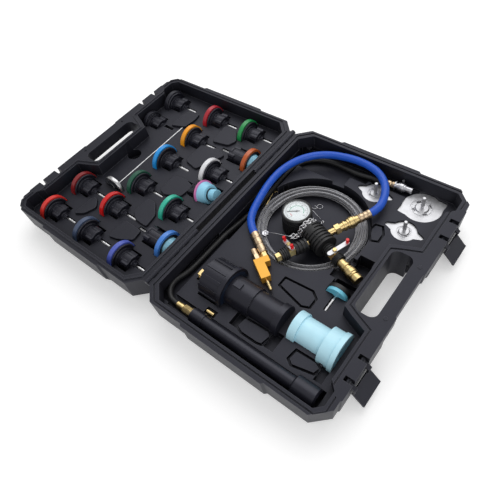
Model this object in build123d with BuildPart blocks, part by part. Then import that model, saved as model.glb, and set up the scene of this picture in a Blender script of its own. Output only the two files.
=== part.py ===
from build123d import *
import math
import os

os.makedirs("parts", exist_ok=True)

# The case. Both halves lie open, floors down, and meet at the hinge line.
half_width = 400.0
case_length = 525.0
half_depth = 72.0
seam_gap = 0.4
corner_chamfer = 28.0
side_bulge = 4.0
front_bulge = 2.5
draft_foot = 12.0
draft_skirt = 3.0
skirt_height = 18.0
hinge_x = -half_width / 2
hinge_z = half_depth + seam_gap / 2
bulge_ends_share = (0.275, 0.725)
front_zone_share = (0.095, 0.41)

# Tray in each half
rim_back = 22.0
rim_front = 28.0
rim_side = 12.5
tray_depth = 30.0
tray_chamfer = 25.0
tray_draft = 2.0
front_bay = 13.0
front_bay_length = 54.0
grip_surround_length = 196.0
grip_surround_nose = 152.0
grip_surround_reach = 50.0
cut_over = 5.0
moat_width = 5.0
moat_depth = 9.0
plateau = half_depth - tray_depth

# Carrying handle
slot_back = 334.0
slot_front = 375.0
slot_length = 144.0
slot_corner = 14.0
bar_depth = 28.0
bar_recess_length = 168.0
bar_boss_radius = 3.5
bar_boss_height = 1.2
bar_boss_share = (0.97, 0.114)
bar_boss_play = 0.4

# Rim tongue and groove
groove_offset = 5.0
groove_width = 3.0
groove_depth = 2.6
tongue_clearance = 0.3

# Hinge
hinge_gap = 6.5
knuckle_radius = 5.5
wire_radius = 1.5
wire_clearance = 0.05
knuckle_length = 14.0
knuckle_gap = 0.5
knuckle_count = 10
hinge_zone_inset = 96.6

# Latches
latch_share = (-0.307, 0.307)
latch_pivot_inset = 8.0
latch_pivot_drop = 9.0
latch_pin_radius = 2.0
latch_eye_radius = 4.2
latch_strut_width = 8.0
latch_strut_spacing = 43.0
latch_strut_thick = 4.0
latch_plate_width = 52.0
latch_plate_thick = 3.5
latch_strut_reach = (13.9, 13.0)
latch_plate_top = (12.6, 26.5)
latch_pin_bite = 3.0
latch_pin_clearance = 0.05
latch_lip = 5.0
latch_plate_foot = (32.5, 46.9)
latch_notch_play = 0.6
latch_notch_back = 6.5
latch_notch_depth = 26.0

# Filler-neck adapters in the lid
band_radius = 34.0
band_width = 10.0
band_height = 37.5
flange_radius = 31.0
flange_width = 4.0
knob_radius = 20.0
knob_lug_reach = 4.0
knob_lug_width = 9.0
knob_lugs = 4
lug_turn = 45.0
knob_length = 30.0
neck_radius = 8.0
neck_length = 8.0
stem_radius = 2.8
stem_barb_radius = 3.8
stem_length = 29.0
stem_barbs = 3
long_neck_extra = 14.0
short_stem_share = 0.76
seat_clearance = 0.3
back_disc_radius = 24.0
back_disc_width = 4.0
nose_radius = 22.0
nose_tip_radius = 13.0
nose_length = 18.0
nose_step_share = 0.5
nose_shoulder_share = 0.8
nose_seal_width = 3.0
nose_seal_rise = 1.6
large_band_radius = 36.0
small_band_radius = 29.0
thin_band_width = 4.0

# Thermometer
dial_head_radius = 28.0
dial_head_width = 9.0
dial_hub_radius = 8.0
dial_hub_width = 7.0
probe_radius = 1.9
probe_length = 235.0
probe_tip_length = 23.0
probe_tip_radius = 2.6

# Vacuum filler
filler_height = 45.0
filler_turn = -20.0
pipe_radius = 7.0
pipe_clearance = 0.2
pipe_back = 42.8
pipe_front = 68.0
hose_pipe_length = 36.0
sleeve_radius = 24.0
sleeve_root = 21.5
sleeve_back = 24.0
sleeve_front = 26.0
sleeve_ribs = 7
collar_radius = 18.0
collar_length = 13.5
boot_radius = 13.0
boot_root = 10.5
boot_length = 13.0
valve_pitch = 52.0
valve_hex = 11.0
valve_hex_length = 11.0
lever_width = 9.0
lever_thick = 2.0
lever_long = 33.0
lever_short = 16.0
lever_stem_radius = 3.0
lever_lift = 15.5
lever_lean_share = 0.35
lever_tip_radius = 3.2
lever_tip_length = 9.0
left_branch_turn = -6.4
left_valve_at = 60.0
left_end_at = 92.0
gauge_distance = 69.8
gauge_radius = 31.0
gauge_top = 64.0
gauge_mouth_radius = 26.6
gauge_wall = 0.3
gauge_can_depth = 22.0
gauge_face_drop = 3.0
needle_length = 19.0
needle_width = 1.6
needle_thick = 0.5
needle_hub = 2.4
needle_lift = 0.5
spindle_radius = 0.8
lens_thick = 1.2
lens_drop = 0.5

# Quick couplers
coupler_radius = 8.5
coupler_shoulder = 10.5
coupler_shoulder_length = 4.0
coupler_collar_radius = 12.0
coupler_collar_length = 18.0
coupler_collar_travel = 3.0
coupler_fit = 0.1
hose_branch = (0.503, 0.858, 0.126)
hose_coupler_start = 46.0
hose_coupler_end = 86.0
ferrule_radius = 9.0
ferrule_length = 26.0
valve_coupler_start = 68.0
valve_coupler_end = 119.0
steel_ferrule_radius = 7.0
steel_coupler_radius = 6.5
steel_coupler_length = 36.0
steel_collar_radius = 10.0
steel_collar_length = 16.0
steel_height = 46.5

# Hoses
blue_radius = 8.0
black_radius = 5.5
clear_radius = 4.0
hose_sides = 12
coil_sides = 6
arc_share = 0.45
well_radius = 118.0
well_floor = 14.0
coil_rings = (92.0, 96.5, 101.0, 105.5, 110.0, 112.0, 104.0, 103.0, 95.0, 94.0)
coil_turnover = 4
coil_layers = (18.3, 27.0)
coil_end = 8.0
blue_lead = 17.8
pump_leads = (14.4, 11.5)

# Tee on the filling hose
tee_length = 45.0
tee_height = 29.5
tee_foot = 18.5
tee_leg = 13.5
tee_thick = 18.0
tee_turn = -33.0
tee_joint_share = 0.84
tee_hex = 7.7
tee_hex_length = 12.0
tee_barb_length = 24.0
tee_barb_radius = 3.6
tee_plug_radius = 6.0
tee_plug_length = 27.0
left_ferrule_length = 52.0

# Hand pump
pump_height = 42.0
pump_radius = 12.5
pump_collar_radius = 14.0
pump_collar_length = 26.5
pump_barrel_length = 193.0
pump_fitting_radius = 6.5
pump_fitting_length = 38.0
pump_hex = 8.5
grip_radius = 19.0
grip_length = 45.0
grip_gap = 0.3
grip_chamfer = 3.0
rod_radius = 4.0
rod_length = 170.0
rod_clearance = 0.1
piston_radius = 10.0
piston_length = 10.0
pump_bore = 10.1
pump_wall = 6.0
plunger_travel = 5.0

# Large neck adapter and the blue adapter beside it
drum_height = 45.5
drum_radius = 38.5
drum_band_radius = 43.5
drum_length = 54.0
drum_lip = 8.0
drum_rib_rise = 2.0
drum_recess = 5.0
drum_rib_count = 12
drum_rib_width = 5.0
seal_radius = 38.0
throat_radius = 30.0
throat_length = 53.0
key_width = 12.0
key_length = 16.0
key_height = 3.0
tube_radius = 27.0
tube_length = 50.0
end_ring_radius = 30.5
end_ring_width = 12.0
cup_radius = 26.0
cup_flange_radius = 29.5
cup_flange_width = 15.0
cup_body_length = 47.0
cup_bell_radius = 34.0
cup_bell_length = 22.0
cup_rim_radius = 36.5
cup_rim_width = 9.0
cup_wall = 3.0
cup_height = 40.5
cup_tab_width = 9.0
cup_tab_reach = 3.0

# Small adapter
small_disc_radius = 21.0
small_disc_width = 7.0
small_seal_radius = 22.0
small_seal_width = 8.0
small_height = 38.0

# Radiator caps
cap_flange_top = 38.0
cap_flange_thick = 2.5
cap_boss_radius = 14.0
cap_boss_power = 0.6
cap_boss_taper_share = 0.85
cap_boss_height = 2.5
cap_body_radius = 18.0
cap_body_depth = 20.0
cap_nipple_top = 68.0
cap_nipple_radius = 4.0
cap_lobe_radius = 5.0

# Small brass pieces, steel bit, clamp and chain
elbow_radius = 5.0
elbow_hex = 9.0
elbow_height = 52.0
hook_radius = 3.0
tap_radius = 4.5
tap_height = 40.0
tap_length = 16.0
bit_radius = 2.5
bit_length = 18.0
clamp_size = 14.0
clamp_thick = 5.0
link_radius = 2.7
link_wire = 0.75
link_pitch = 4.6
link_rows = 2
links_per_row = 12
chain_gap = 0.3
row_pitch = 5.8

# More of the filler
rib_share = 0.45
boot_gap = 1.0
boot_ribs = 4
valve_at = 50.0
valve_length = 11.0
left_boot_length = 15.0
left_tail_hex = 9.0
lever_nut = 1.5
lever_wing = 20.0
lever_boss_radius = 5.0
lever_boss_height = 2.0
gauge_ring_share = 0.8
gauge_groove_share = 0.72
gauge_step = 2.0
boot_flutes = 30
boot_flute_depth = 1.4
boot_flute_width = 2.6
needle_turn = 215.0
needle_tail = 6.0
coupler_tail = 10.0
coupler_play = 1.0
collar_belt_share = 0.25
collar_step = 1.5
steel_turn = 5.0
tee_barb_root_share = 0.75
tee_plug_hex_share = 0.45
fitting_ferrule_share = 0.42
drum_rib_share = 0.82
small_neck_length = 6.0
cap_plate_radius = 38.5
cap_lobe_reach = 48.0
cap_ear_root_share = 0.6
cap_ear_width_share = 0.5
cap_ring_share = (0.5, 0.58)
cap_ring_depth = 0.8
cap_slot_count = 4
cap_slot_arc = 9.0
full_turn = 360
elbow_arm = 16.0
elbow_nut_radius = 6.5
elbow_hex_share = 0.6
elbow_barb = 30.0
link_turn_share = 1.1
link_row_share = 0.6


plus_x = Vector(1, 0, 0)
plus_y = Vector(0, 1, 0)
plus_z = Vector(0, 0, 1)


def spot(u_share, v_share, height=0):
    """A place by shares of a half's width from the hinge, lid side negative, and of the length."""
    return Vector(hinge_x + u_share * half_width, v_share * case_length, height)


def along(heading):
    """Normal of the upright plane that a heading lies in."""
    across = heading.cross(plus_z)
    return across if across.length > 0 else plus_y


def drawn(plane, points):
    """Flat face with straight sides, drawn on a plane."""
    with BuildSketch(plane) as face:
        with BuildLine():
            Polyline(*points, close=True)
        make_face()
    return face.sketch


def disc(start, heading, radius):
    with BuildSketch(Plane(origin=start, z_dir=heading)) as face:
        Circle(radius)
    return face.sketch


def turned(start, heading, steps, bore=((0, 0),), mode=Mode.ADD):
    """Round piece about a line: outer profile, then the bore's profile on the way back."""
    inner = list(bore)
    if len(inner) == 1:
        inner = [(steps[-1][0], inner[0][1]), (steps[0][0], inner[0][1])]
    plane = Plane(origin=start, x_dir=heading, z_dir=along(heading))
    revolve(drawn(plane, list(steps) + inner), axis=Axis(start, heading), mode=mode)


def stepped(*parts):
    """Cylinder after cylinder: parts are (length, radius), returned as profile steps."""
    steps = []
    at = 0
    for length, radius in parts:
        steps += [(at, radius), (at + length, radius)]
        at += length
    return steps


def prism(start, heading, radius, length, sides=6, mode=Mode.ADD):
    """Hexagon nut or other prism along a heading."""
    with BuildSketch(Plane(origin=start, z_dir=heading)) as face:
        RegularPolygon(radius=radius, side_count=sides)
    extrude(face.sketch, amount=length, mode=mode)


def block(centre, size, height, mode=Mode.ADD, turn=0):
    """Upright block on a centre, turned about it."""
    way = Vector(1, 0, 0).rotate(Axis.Z, turn)
    with BuildSketch(Plane(origin=centre, x_dir=way, z_dir=(0, 0, 1))) as face:
        Rectangle(*size)
    extrude(face.sketch, amount=height, mode=mode)


def pocket(u_shares, v_shares, floor):
    """Box pocket from above the tray's plateau down to a floor."""
    low = spot(u_shares[0], v_shares[0], floor)
    high = spot(u_shares[1], v_shares[1], floor)
    size = (abs(high.X - low.X), abs(high.Y - low.Y))
    block((low + high) * 0.5, size, plateau + cut_over - floor, Mode.SUBTRACT)


def export(node, label):
    node.part.label = label
    export_step(node.part, f"parts/{label}.step")


# Case halves

def mirrored(points, side):
    return [(hinge_x + side * x, y) for x, y in points]


def half_outline(inset, side):
    """Rim outline of a case half, drawn in by inset: chamfered corners, bulged sides and front."""
    back = hinge_gap + inset
    front = half_width - inset
    end = case_length / 2 - inset
    belly = end + side_bulge
    near, far = (share * half_width for share in bulge_ends_share)
    grip_end, zone_end = (share * case_length for share in front_zone_share)
    c = corner_chamfer
    half = [
        (front, grip_end - front_bulge),
        (front + front_bulge, grip_end),
        (front + front_bulge, zone_end),
        (front, zone_end + front_bulge),
        (front, end - c),
        (front - c, end),
        (far, end),
        (far - side_bulge, belly),
        (near + side_bulge, belly),
        (near, end),
        (back + c, end),
        (back, end - c),
    ]
    other = [(x, -y) for x, y in reversed(half)]
    return mirrored(half + other, side)


def tray_outline(grow, side):
    """Mouth of the tray, which goes round the carrying handle."""
    back = rim_back - grow
    front = half_width - rim_front + grow
    bay = front + front_bay
    end = case_length / 2 - rim_side + grow
    nose = half_width - rim_front - grip_surround_reach + grow
    c = tray_chamfer
    round_end = grip_surround_length / 2 - grow
    round_nose = grip_surround_nose / 2 - grow
    half = [
        (nose, round_nose),
        (nose + c - front_bay / 2, round_end - front_bay),
        (front, round_end),
        (front, end - front_bay_length),
        (bay, end - front_bay_length + front_bay),
        (bay, end - front_bay),
        (bay - front_bay, end),
        (back + c, end),
        (back, end - c),
    ]
    other = [(x, -y) for x, y in reversed(half)]
    return mirrored(half + other, side)


def case_half(side):
    """Outer skin, tray mouth, carrying slot, handle recess and latch notches of one half."""
    skin = ((half_depth, 0), (skirt_height, draft_skirt), (0, draft_foot))
    loft([drawn(Plane.XY.offset(h), half_outline(inset, side)) for h, inset in skin], ruled=True)
    mouth = ((half_depth + cut_over, 0), (half_depth, 0), (plateau, -tray_draft))
    sections = [drawn(Plane.XY.offset(h), tray_outline(grow, side)) for h, grow in mouth]
    loft(sections, ruled=True, mode=Mode.SUBTRACT)
    with BuildSketch(Plane(origin=(hinge_x + side * (slot_back + slot_front) / 2, 0, 0))) as slot:
        RectangleRounded(slot_front - slot_back, slot_length, slot_corner)
    extrude(slot.sketch, amount=half_depth, mode=Mode.SUBTRACT)
    recess_end = half_width + front_bulge + cut_over
    recess_start = slot_front - slot_corner
    recess_middle = Vector(hinge_x + side * (recess_start + recess_end) / 2, 0, 0)
    recess_size = (recess_end - recess_start, bar_recess_length)
    block(recess_middle, recess_size, half_depth - bar_depth, Mode.SUBTRACT)
    for share in latch_share:
        for strut in (-1, 1):
            latch_notch(share * case_length + strut * latch_strut_spacing / 2, side)


def latch_notch(y, side):
    """Notch through the rim's front edge for a latch strut, seen along the case."""
    width = latch_strut_width + 2 * latch_notch_play
    pivot_x = half_width - latch_pivot_inset
    out = half_width + front_bulge + cut_over
    top = half_depth + cut_over
    points = [
        (pivot_x - latch_notch_back, top),
        (pivot_x - latch_notch_back, half_depth - latch_pivot_drop - latch_eye_radius),
        (pivot_x, half_depth - latch_notch_depth),
        (out, half_depth - latch_notch_depth),
        (out, top),
    ]
    plane = Plane.XZ.offset(-y - width / 2)
    extrude(drawn(plane, [(hinge_x + side * x, z) for x, z in points]), amount=width, mode=Mode.SUBTRACT)


def hinge_zones():
    """Middles of the two hinge zones, a set distance in from the case's ends."""
    middle = case_length / 2 - hinge_zone_inset
    return (-middle, middle)


def knuckle_places(owner):
    """Middles of one half's knuckles, every other place in both hinge zones."""
    pitch = knuckle_length + knuckle_gap
    places = []
    for middle in hinge_zones():
        first = middle - (knuckle_count - 1) * pitch / 2
        places += [first + pitch * k for k in range(knuckle_count) if k % 2 == owner]
    return places


def knuckles(owner, side):
    """Hinge barrels with the tabs that carry them, bored for the wire."""
    tab = hinge_gap + draft_skirt
    for y in knuckle_places(owner):
        end = Vector(hinge_x, y - knuckle_length / 2, hinge_z)
        extrude(disc(end, plus_y, knuckle_radius), amount=knuckle_length)
        block(Vector(hinge_x + side * tab / 2, y, half_depth - knuckle_radius), (tab, knuckle_length), knuckle_radius)
        extrude(disc(end, plus_y, wire_radius + wire_clearance), amount=knuckle_length, mode=Mode.SUBTRACT)


def rim_band(inner, outer, height, depth, side, mode):
    """Closed band that follows the tray's mouth on the rim."""
    with BuildPart(mode=Mode.PRIVATE) as band:
        extrude(drawn(Plane.XY.offset(height), tray_outline(outer, side)), amount=depth)
        extrude(drawn(Plane.XY.offset(height), tray_outline(inner, side)), amount=depth, mode=Mode.SUBTRACT)
    add(band.part, mode=mode)


# Lid adapters: band face, v, side it points to, band colour, what stands behind the band
adapter_shares = (
    (-0.9, 0.394, 1, "black", "none"),
    (-0.915, 0.242, 1, "small_black", "none"),
    (-0.5725, 0.4, 1, "red", "disc"),
    (-0.3025, 0.402, 1, "green", "none"),
    (-0.5725, 0.244, 1, "amber", "disc"),
    (-0.1075, 0.259, -1, "amber", "nose"),
    (-0.585, 0.075, 1, "large_blue", "none"),
    (-0.2865, 0.123, 1, "white", "none"),
    (-0.5775, -0.095, 1, "green", "none"),
    (-0.2875, -0.125, 1, "green", "none"),
    (-0.8575, -0.233, 1, "red", "disc"),
    (-0.5875, -0.246, 1, "red", "none"),
    (-0.865, -0.399, 1, "red", "none"),
    (-0.5775, -0.399, 1, "blue", "none"),
    (-0.295, -0.403, 1, "blue", "disc"),
    (-0.1075, -0.267, -1, "blue", "nose"),
)
cone_share = (-0.19, 0.016)
cone_heading = Vector(-0.95, -0.06, -0.3).normalized()
cone_height = 40.0
cone_band_radius = 29.0
cone_knob_length = 24.0
cone_length = 38.0
cone_radius = 26.0
cone_tip_radius = 13.0
cone_start = spot(*cone_share, cone_height)


def adapter_radius(colour):
    if colour.startswith("large"):
        return large_band_radius
    if colour.startswith("small"):
        return small_band_radius
    return band_radius


def adapters(colour=""):
    """Start, heading, band radius, extra neck, band width, knob and back of each adapter of a colour."""
    found = []
    for u, v, way, name, back in adapter_shares:
        if name.endswith(colour):
            radius = adapter_radius(name)
            start = spot(u, v, band_height + radius - band_radius)
            extra = long_neck_extra if back == "nose" else 0
            found.append((start, Vector(way, 0, 0), radius, band_width, knob_length + extra, back, name))
    if colour in ("", "pink"):
        found.append((cone_start, cone_heading, cone_band_radius, thin_band_width, cone_knob_length, "cone", "pink"))
    return found


def adapter_body(start, heading, radius, width, knob, back, name):
    """Black flange, lugged knob and neck behind the band, and the band itself if it is black."""
    flange = radius - (band_radius - flange_radius)
    steps = [(width, flange), (width + flange_width, flange)]
    if name.endswith("black"):
        steps = [(0, radius), (width, radius)] + steps
    turned(start, heading, steps)
    knob_start = start + heading * (width + flange_width)
    with BuildSketch(Plane(origin=knob_start, z_dir=heading)) as outline:
        Circle(knob_radius)
        with PolarLocations(knob_radius, knob_lugs, start_angle=lug_turn):
            Rectangle(2 * knob_lug_reach, knob_lug_width)
    extrude(outline.sketch, amount=knob)
    turned(knob_start + heading * knob, heading, [(0, neck_radius), (neck_length, neck_radius)])


def barbed(length, radius, barb, count):
    """Saw-tooth outline of a hose stem."""
    pitch = length / (count + 1)
    steps = [(0, radius), (pitch, radius)]
    for k in range(count):
        steps += [(pitch * (k + 1), barb), (pitch * (k + 2), radius)]
    return steps


def stem_share(back):
    return 1 if back in ("none", "disc") else short_stem_share


def adapter_stem(start, heading, radius, width, knob, back, name):
    foot = start + heading * (width + flange_width + knob + neck_length)
    turned(foot, heading, barbed(stem_length * stem_share(back), stem_radius, stem_barb_radius, stem_barbs))


def adapter_nose(start, heading, back):
    """Pale blue disc or stepped nose in front of a band."""
    if back == "disc":
        turned(start, heading, [(-back_disc_width, back_disc_radius), (0, back_disc_radius)])
    if back == "nose":
        turned(start, heading, nose_steps(nose_length, nose_radius, nose_tip_radius))
    if back == "cone":
        turned(start, heading, nose_steps(cone_length, cone_radius, cone_tip_radius))


def nose_steps(length, radius, tip):
    step = -length * nose_step_share
    return [(-length, tip), (step, tip), (step, radius * nose_shoulder_share), (0, radius)]


def nose_seal(start, heading, length, tip):
    step = -length * nose_step_share
    outer = tip + nose_seal_rise
    turned(start, heading, [(step - nose_seal_width, outer), (step, outer)], bore=((0, tip),))


back_sizes = {
    "none": (0, 0),
    "disc": (back_disc_width, back_disc_radius),
    "nose": (nose_length, nose_radius),
    "cone": (cone_length, cone_radius),
}


def adapter_seat(start, heading, radius, width, knob, back, name):
    """Cut that an adapter lies in: its own outline and a clearance all round."""
    gap = seat_clearance
    lug = math.hypot(knob_radius + knob_lug_reach, knob_lug_width / 2) + gap
    one = width + flange_width + gap
    two = one + knob
    three = two + neck_length
    four = three + stem_length * stem_share(back) + gap
    neck = neck_radius + gap
    groove = stem_barb_radius + gap
    steps = [(-gap, radius + gap), (one, radius + gap), (one, lug), (two, lug)]
    steps += [(two, neck), (three, neck), (three, groove), (four, groove)]
    length, size = back_sizes[back]
    if length:
        steps = [(-length - gap, size + gap), (-gap, size + gap)] + steps
    turned(start, heading, steps, mode=Mode.SUBTRACT)
    if heading.Z == 0:
        open_slot(start + heading * three, heading, four - three, groove)


def open_slot(start, heading, length, reach):
    """Upward opening over a stem that lies level below the plateau."""
    middle = start + heading * (length / 2)
    size = (length, 2 * reach) if heading.X else (2 * reach, length)
    block(middle, size, plateau + cut_over - start.Z, Mode.SUBTRACT)


# Thermometer, lying along the case
thermometer_start = spot(-0.6675, -0.1733, plateau)


def thermometer_seat():
    gap = seat_clearance
    head = dial_head_width + gap
    hub = head + dial_hub_width
    end = hub + probe_length - gap
    steps = [(-gap, dial_head_radius + gap), (head, dial_head_radius + gap), (head, dial_hub_radius + gap)]
    steps += [(hub, dial_hub_radius + gap), (hub, probe_radius + gap), (end, probe_radius + gap)]
    steps += [(end, probe_tip_radius + gap), (end + probe_tip_length + 2 * gap, probe_tip_radius + gap)]
    turned(thermometer_start, plus_y, steps, mode=Mode.SUBTRACT)


# Lid half with its seats
spare_pocket_share = (-0.765, 0.023)
spare_pocket_radius = 17.0
spare_pocket_floor = 20.0
cone_stem_pocket_shares = ((-0.355, -0.27), (-0.02, 0.03))
cone_stem_floor = 16.0

with BuildPart() as lid_shell:
    case_half(-1)
    knuckles(1, -1)
    low = groove_offset + tongue_clearance
    high = groove_offset + groove_width - tongue_clearance
    rim_band(low, high, half_depth - tongue_clearance, groove_depth, -1, Mode.ADD)
    for place in adapters():
        adapter_seat(*place)
    thermometer_seat()
    pocket(*cone_stem_pocket_shares, cone_stem_floor)
    spare = spot(*spare_pocket_share, spare_pocket_floor)
    extrude(disc(spare, plus_z, spare_pocket_radius), amount=half_depth - spare_pocket_floor, mode=Mode.SUBTRACT)
    for end in (-1, 1):
        hole = spot(-bar_boss_share[0], end * bar_boss_share[1], half_depth - bar_boss_height - bar_boss_play)
        depth = bar_boss_height + bar_boss_play
        extrude(disc(hole, plus_z, bar_boss_radius + bar_boss_play), amount=depth, mode=Mode.SUBTRACT)
export(lid_shell, "lid_shell")

# Lid adapters
with BuildPart() as adapter_bodies:
    for place in adapters():
        adapter_body(*place)
export(adapter_bodies, "adapter_bodies")

with BuildPart() as adapter_stems:
    for place in adapters():
        adapter_stem(*place)
export(adapter_stems, "adapter_stems")

with BuildPart() as adapter_noses:
    for start, heading, _, _, _, back, _ in adapters():
        adapter_nose(start, heading, back)
export(adapter_noses, "adapter_noses")

with BuildPart() as nose_seals:
    for start, heading, _, _, _, back, _ in adapters():
        if back == "nose":
            nose_seal(start, heading, nose_length, nose_tip_radius)
        if back == "cone":
            nose_seal(start, heading, cone_length, cone_tip_radius)
export(nose_seals, "nose_seals")

band_nodes = {
    "red": "bands_red",
    "green": "bands_green",
    "blue": "bands_blue",
    "amber": "bands_amber",
    "white": "band_white",
    "pink": "band_pink",
}
for colour, label in band_nodes.items():
    with BuildPart() as bands:
        for start, heading, radius, width, _, _, _ in adapters(colour):
            turned(start, heading, [(0, radius), (width, radius)])
    export(bands, label)

with BuildPart() as thermometer_dial:
    hub_start = thermometer_start + plus_y * dial_head_width
    turned(thermometer_start, plus_y, [(0, dial_head_radius), (dial_head_width, dial_head_radius)])
    turned(hub_start, plus_y, [(0, dial_hub_radius), (dial_hub_width, dial_hub_radius)])
export(thermometer_dial, "thermometer_dial")

with BuildPart() as thermometer_probe:
    probe_start = hub_start + plus_y * dial_hub_width
    turned(probe_start, plus_y, [(0, probe_radius), (probe_length, probe_radius)])
export(thermometer_probe, "thermometer_probe")

with BuildPart() as thermometer_tip:
    tip_start = probe_start + plus_y * probe_length
    turned(tip_start, plus_y, [(0, probe_tip_radius), (probe_tip_length, probe_tip_radius)])
export(thermometer_tip, "thermometer_tip")

# Base half: where its pieces lie
well_centre = spot(0.4035, 0.124, well_floor)
filler = spot(0.493, 0.0663, filler_height)
filler_way = plus_x.rotate(Axis.Z, filler_turn)
filler_side = plus_y.rotate(Axis.Z, filler_turn)
left_way = (filler_side * -1).rotate(Axis.Z, left_branch_turn)
hose_way = Vector(*hose_branch).normalized()
pump_start = spot(0.16, -0.4343, pump_height)
drum_start = spot(0.1975, -0.28, drum_height)
cup_start = spot(0.6625, -0.2667, cup_height)
small_start = spot(0.7275, -0.0724, small_height)
elbow_corner = spot(0.1648, -0.298, elbow_height)
tap_start = spot(0.295, -0.3943, tap_height)
steel_start = spot(0.57, 0.4362, steel_height)
steel_way = plus_x.rotate(Axis.Z, steel_turn)
tee_corner = spot(0.3238, -0.1562, plateau + seat_clearance)
tee_way = plus_x.rotate(Axis.Z, tee_turn)
tee_side = plus_y.rotate(Axis.Z, tee_turn)
gauge_centre = filler - filler_way * gauge_distance
gauge_foot = Vector(gauge_centre.X, gauge_centre.Y, well_floor + seat_clearance)
gauge_face = gauge_top - gauge_face_drop

# Radiator caps: u, v, plate radius share of the largest, ears, ear reach share, turn of the ears
cap_shares = (
    (0.8088, 0.4019, 1.0, 2, 1.0, 40.0),
    (0.8038, 0.2676, 0.64, 2, 0.8, 1.0),
    (0.5713, 0.3771, 0.67, 2, 0.79, 2.0),
)


def cap_outline(row, height, grow=0):
    """Plate of a radiator cap: a disc with ears that taper to round tips."""
    u, v, size, ears, reach, turn = row
    disc_radius = cap_plate_radius * size
    tip = cap_lobe_reach * reach - cap_lobe_radius
    root = disc_radius * cap_ear_root_share
    wide = disc_radius * cap_ear_width_share
    with BuildSketch(Plane(origin=spot(u, v, height))) as face:
        Circle(disc_radius + grow)
        for k in range(ears):
            with BuildSketch(mode=Mode.PRIVATE) as ear:
                with Locations((root, 0)):
                    Circle(wide + grow)
                with Locations((tip, 0)):
                    Circle(cap_lobe_radius + grow)
                make_hull()
            add(ear.sketch, rotation=turn + k * full_turn / ears)
    return face.sketch


def way_block(start, heading, size, height, mode=Mode.ADD):
    """Upright block that starts on a place and runs along a level heading."""
    turn = math.degrees(math.atan2(heading.Y, heading.X))
    block(start + heading * (size[0] / 2), size, height, mode, turn)


def on_filler(s, lift=0):
    return filler + filler_way * s + plus_z * lift


# Islands of the tray that stand in a moat of lower ground
island_shares = (
    ((0.4588, -0.3784), (0.4635, -0.3446), (0.5853, -0.3400), (0.6000, -0.3500), (0.5903, -0.3843),
     (0.5705, -0.3879), (0.4900, -0.3879)),
    ((0.7295, -0.3740), (0.7352, -0.3420), (0.8280, -0.3400), (0.8500, -0.3490), (0.8420, -0.3692),
     (0.7501, -0.3847)),
    ((0.4928, -0.1691), (0.4935, -0.1400), (0.6300, -0.1330), (0.6600, -0.1500), (0.6600, -0.1850),
     (0.6293, -0.1950)),
    ((0.6748, 0.2016), (0.6799, 0.2340), (0.7080, 0.2380), (0.7300, 0.2104), (0.7300, 0.1767),
     (0.7046, 0.1692)),
)


def moat(island):
    """Cut round an island of the tray, as wide as a named width all round it."""
    corners = [spot(u, v) for u, v in island]
    bottom = Plane.XY.offset(plateau - moat_depth)
    edge = drawn(bottom, [(corner.X, corner.Y) for corner in corners])
    with BuildSketch(bottom) as ring:
        add(offset(edge, amount=moat_width, kind=Kind.INTERSECTION, mode=Mode.PRIVATE))
        add(edge, mode=Mode.SUBTRACT)
    extrude(ring.sketch, amount=moat_depth + cut_over, mode=Mode.SUBTRACT)


# Base half with its seats
base_pockets = (
    ((0.0425, 0.115), (-0.4476, -0.118), 30.0),
    ((0.0613, 0.125), (-0.118, 0.4495), 14.0),
    ((0.645, 0.79), (-0.0419, 0.0648), 28.0),
    ((0.7075, 0.7825), (0.0133, 0.0895), 10.0),
    ((0.675, 0.79), (-0.0914, -0.0229), 12.0),
    ((0.115, 0.255), (-0.4552, -0.4067), 33.0),
    ((0.2525, 0.33), (-0.4629, -0.4057), 27.7),
    ((0.32, 0.9225), (-0.472, -0.4076), 29.2),
    ((0.14, 0.1896), (-0.32, -0.277), 35.7),
    ((0.285, 0.345), (-0.4057, -0.379), 35.2),
    ((0.5, 0.755), (0.4133, 0.472), 36.2),
    ((0.1125, 0.4125), (0.3448, 0.472), 31.5),
    ((0.4125, 0.505), (0.3943, 0.472), 32.0),
    ((0.415, 0.455), (-0.3886, -0.32), 27.0),
    ((0.6, 0.655), (-0.3886, -0.32), 27.0),
    ((0.855, 0.895), (-0.3886, -0.32), 27.0),
)


def drum_seat():
    """Cut for the large neck adapter and the blue one beside it."""
    gap = seat_clearance
    throat = drum_length + throat_length
    tube = throat + tube_length
    steps = [(-gap, drum_band_radius + gap), (drum_length + gap, drum_band_radius + gap)]
    steps += [(drum_length + gap, throat_radius + gap), (throat + gap, throat_radius + gap)]
    steps += [(throat + gap, tube_radius + gap), (tube - gap, tube_radius + gap)]
    steps += [(tube - gap, end_ring_radius + gap), (tube + end_ring_width + gap, end_ring_radius + gap)]
    turned(drum_start, plus_x, steps, mode=Mode.SUBTRACT)
    body = cup_flange_width + cup_body_length
    bell = body + cup_bell_length
    steps = [(-gap, cup_flange_radius + gap), (cup_flange_width + gap, cup_flange_radius + gap)]
    steps += [(cup_flange_width + gap, cup_radius + gap), (body - gap, cup_radius + gap)]
    steps += [(body - gap, cup_bell_radius + gap), (bell - gap, cup_bell_radius + gap)]
    steps += [(bell - gap, cup_rim_radius + gap), (bell + cup_rim_width + gap, cup_rim_radius + gap)]
    turned(cup_start, plus_x, steps, mode=Mode.SUBTRACT)


def small_seat():
    gap = seat_clearance
    reach = small_seal_width + small_disc_width
    neck = reach + small_neck_length
    steps = [(-gap, small_seal_radius + gap), (reach + gap, small_seal_radius + gap)]
    steps += [(reach + gap, stem_barb_radius + gap), (neck + stem_length + gap, stem_barb_radius + gap)]
    turned(small_start, plus_y * -1, steps, mode=Mode.SUBTRACT)
    slot_start = small_start - plus_y * (reach + gap)
    open_slot(slot_start, plus_y * -1, small_neck_length + stem_length, stem_barb_radius + gap)


hook_corner = spot(0.078, 0.2128, well_floor - hook_radius - seat_clearance)
hook_ends = (spot(0.195, 0.2486, hook_corner.Z), spot(0.1093, 0.1137, hook_corner.Z))


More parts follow.
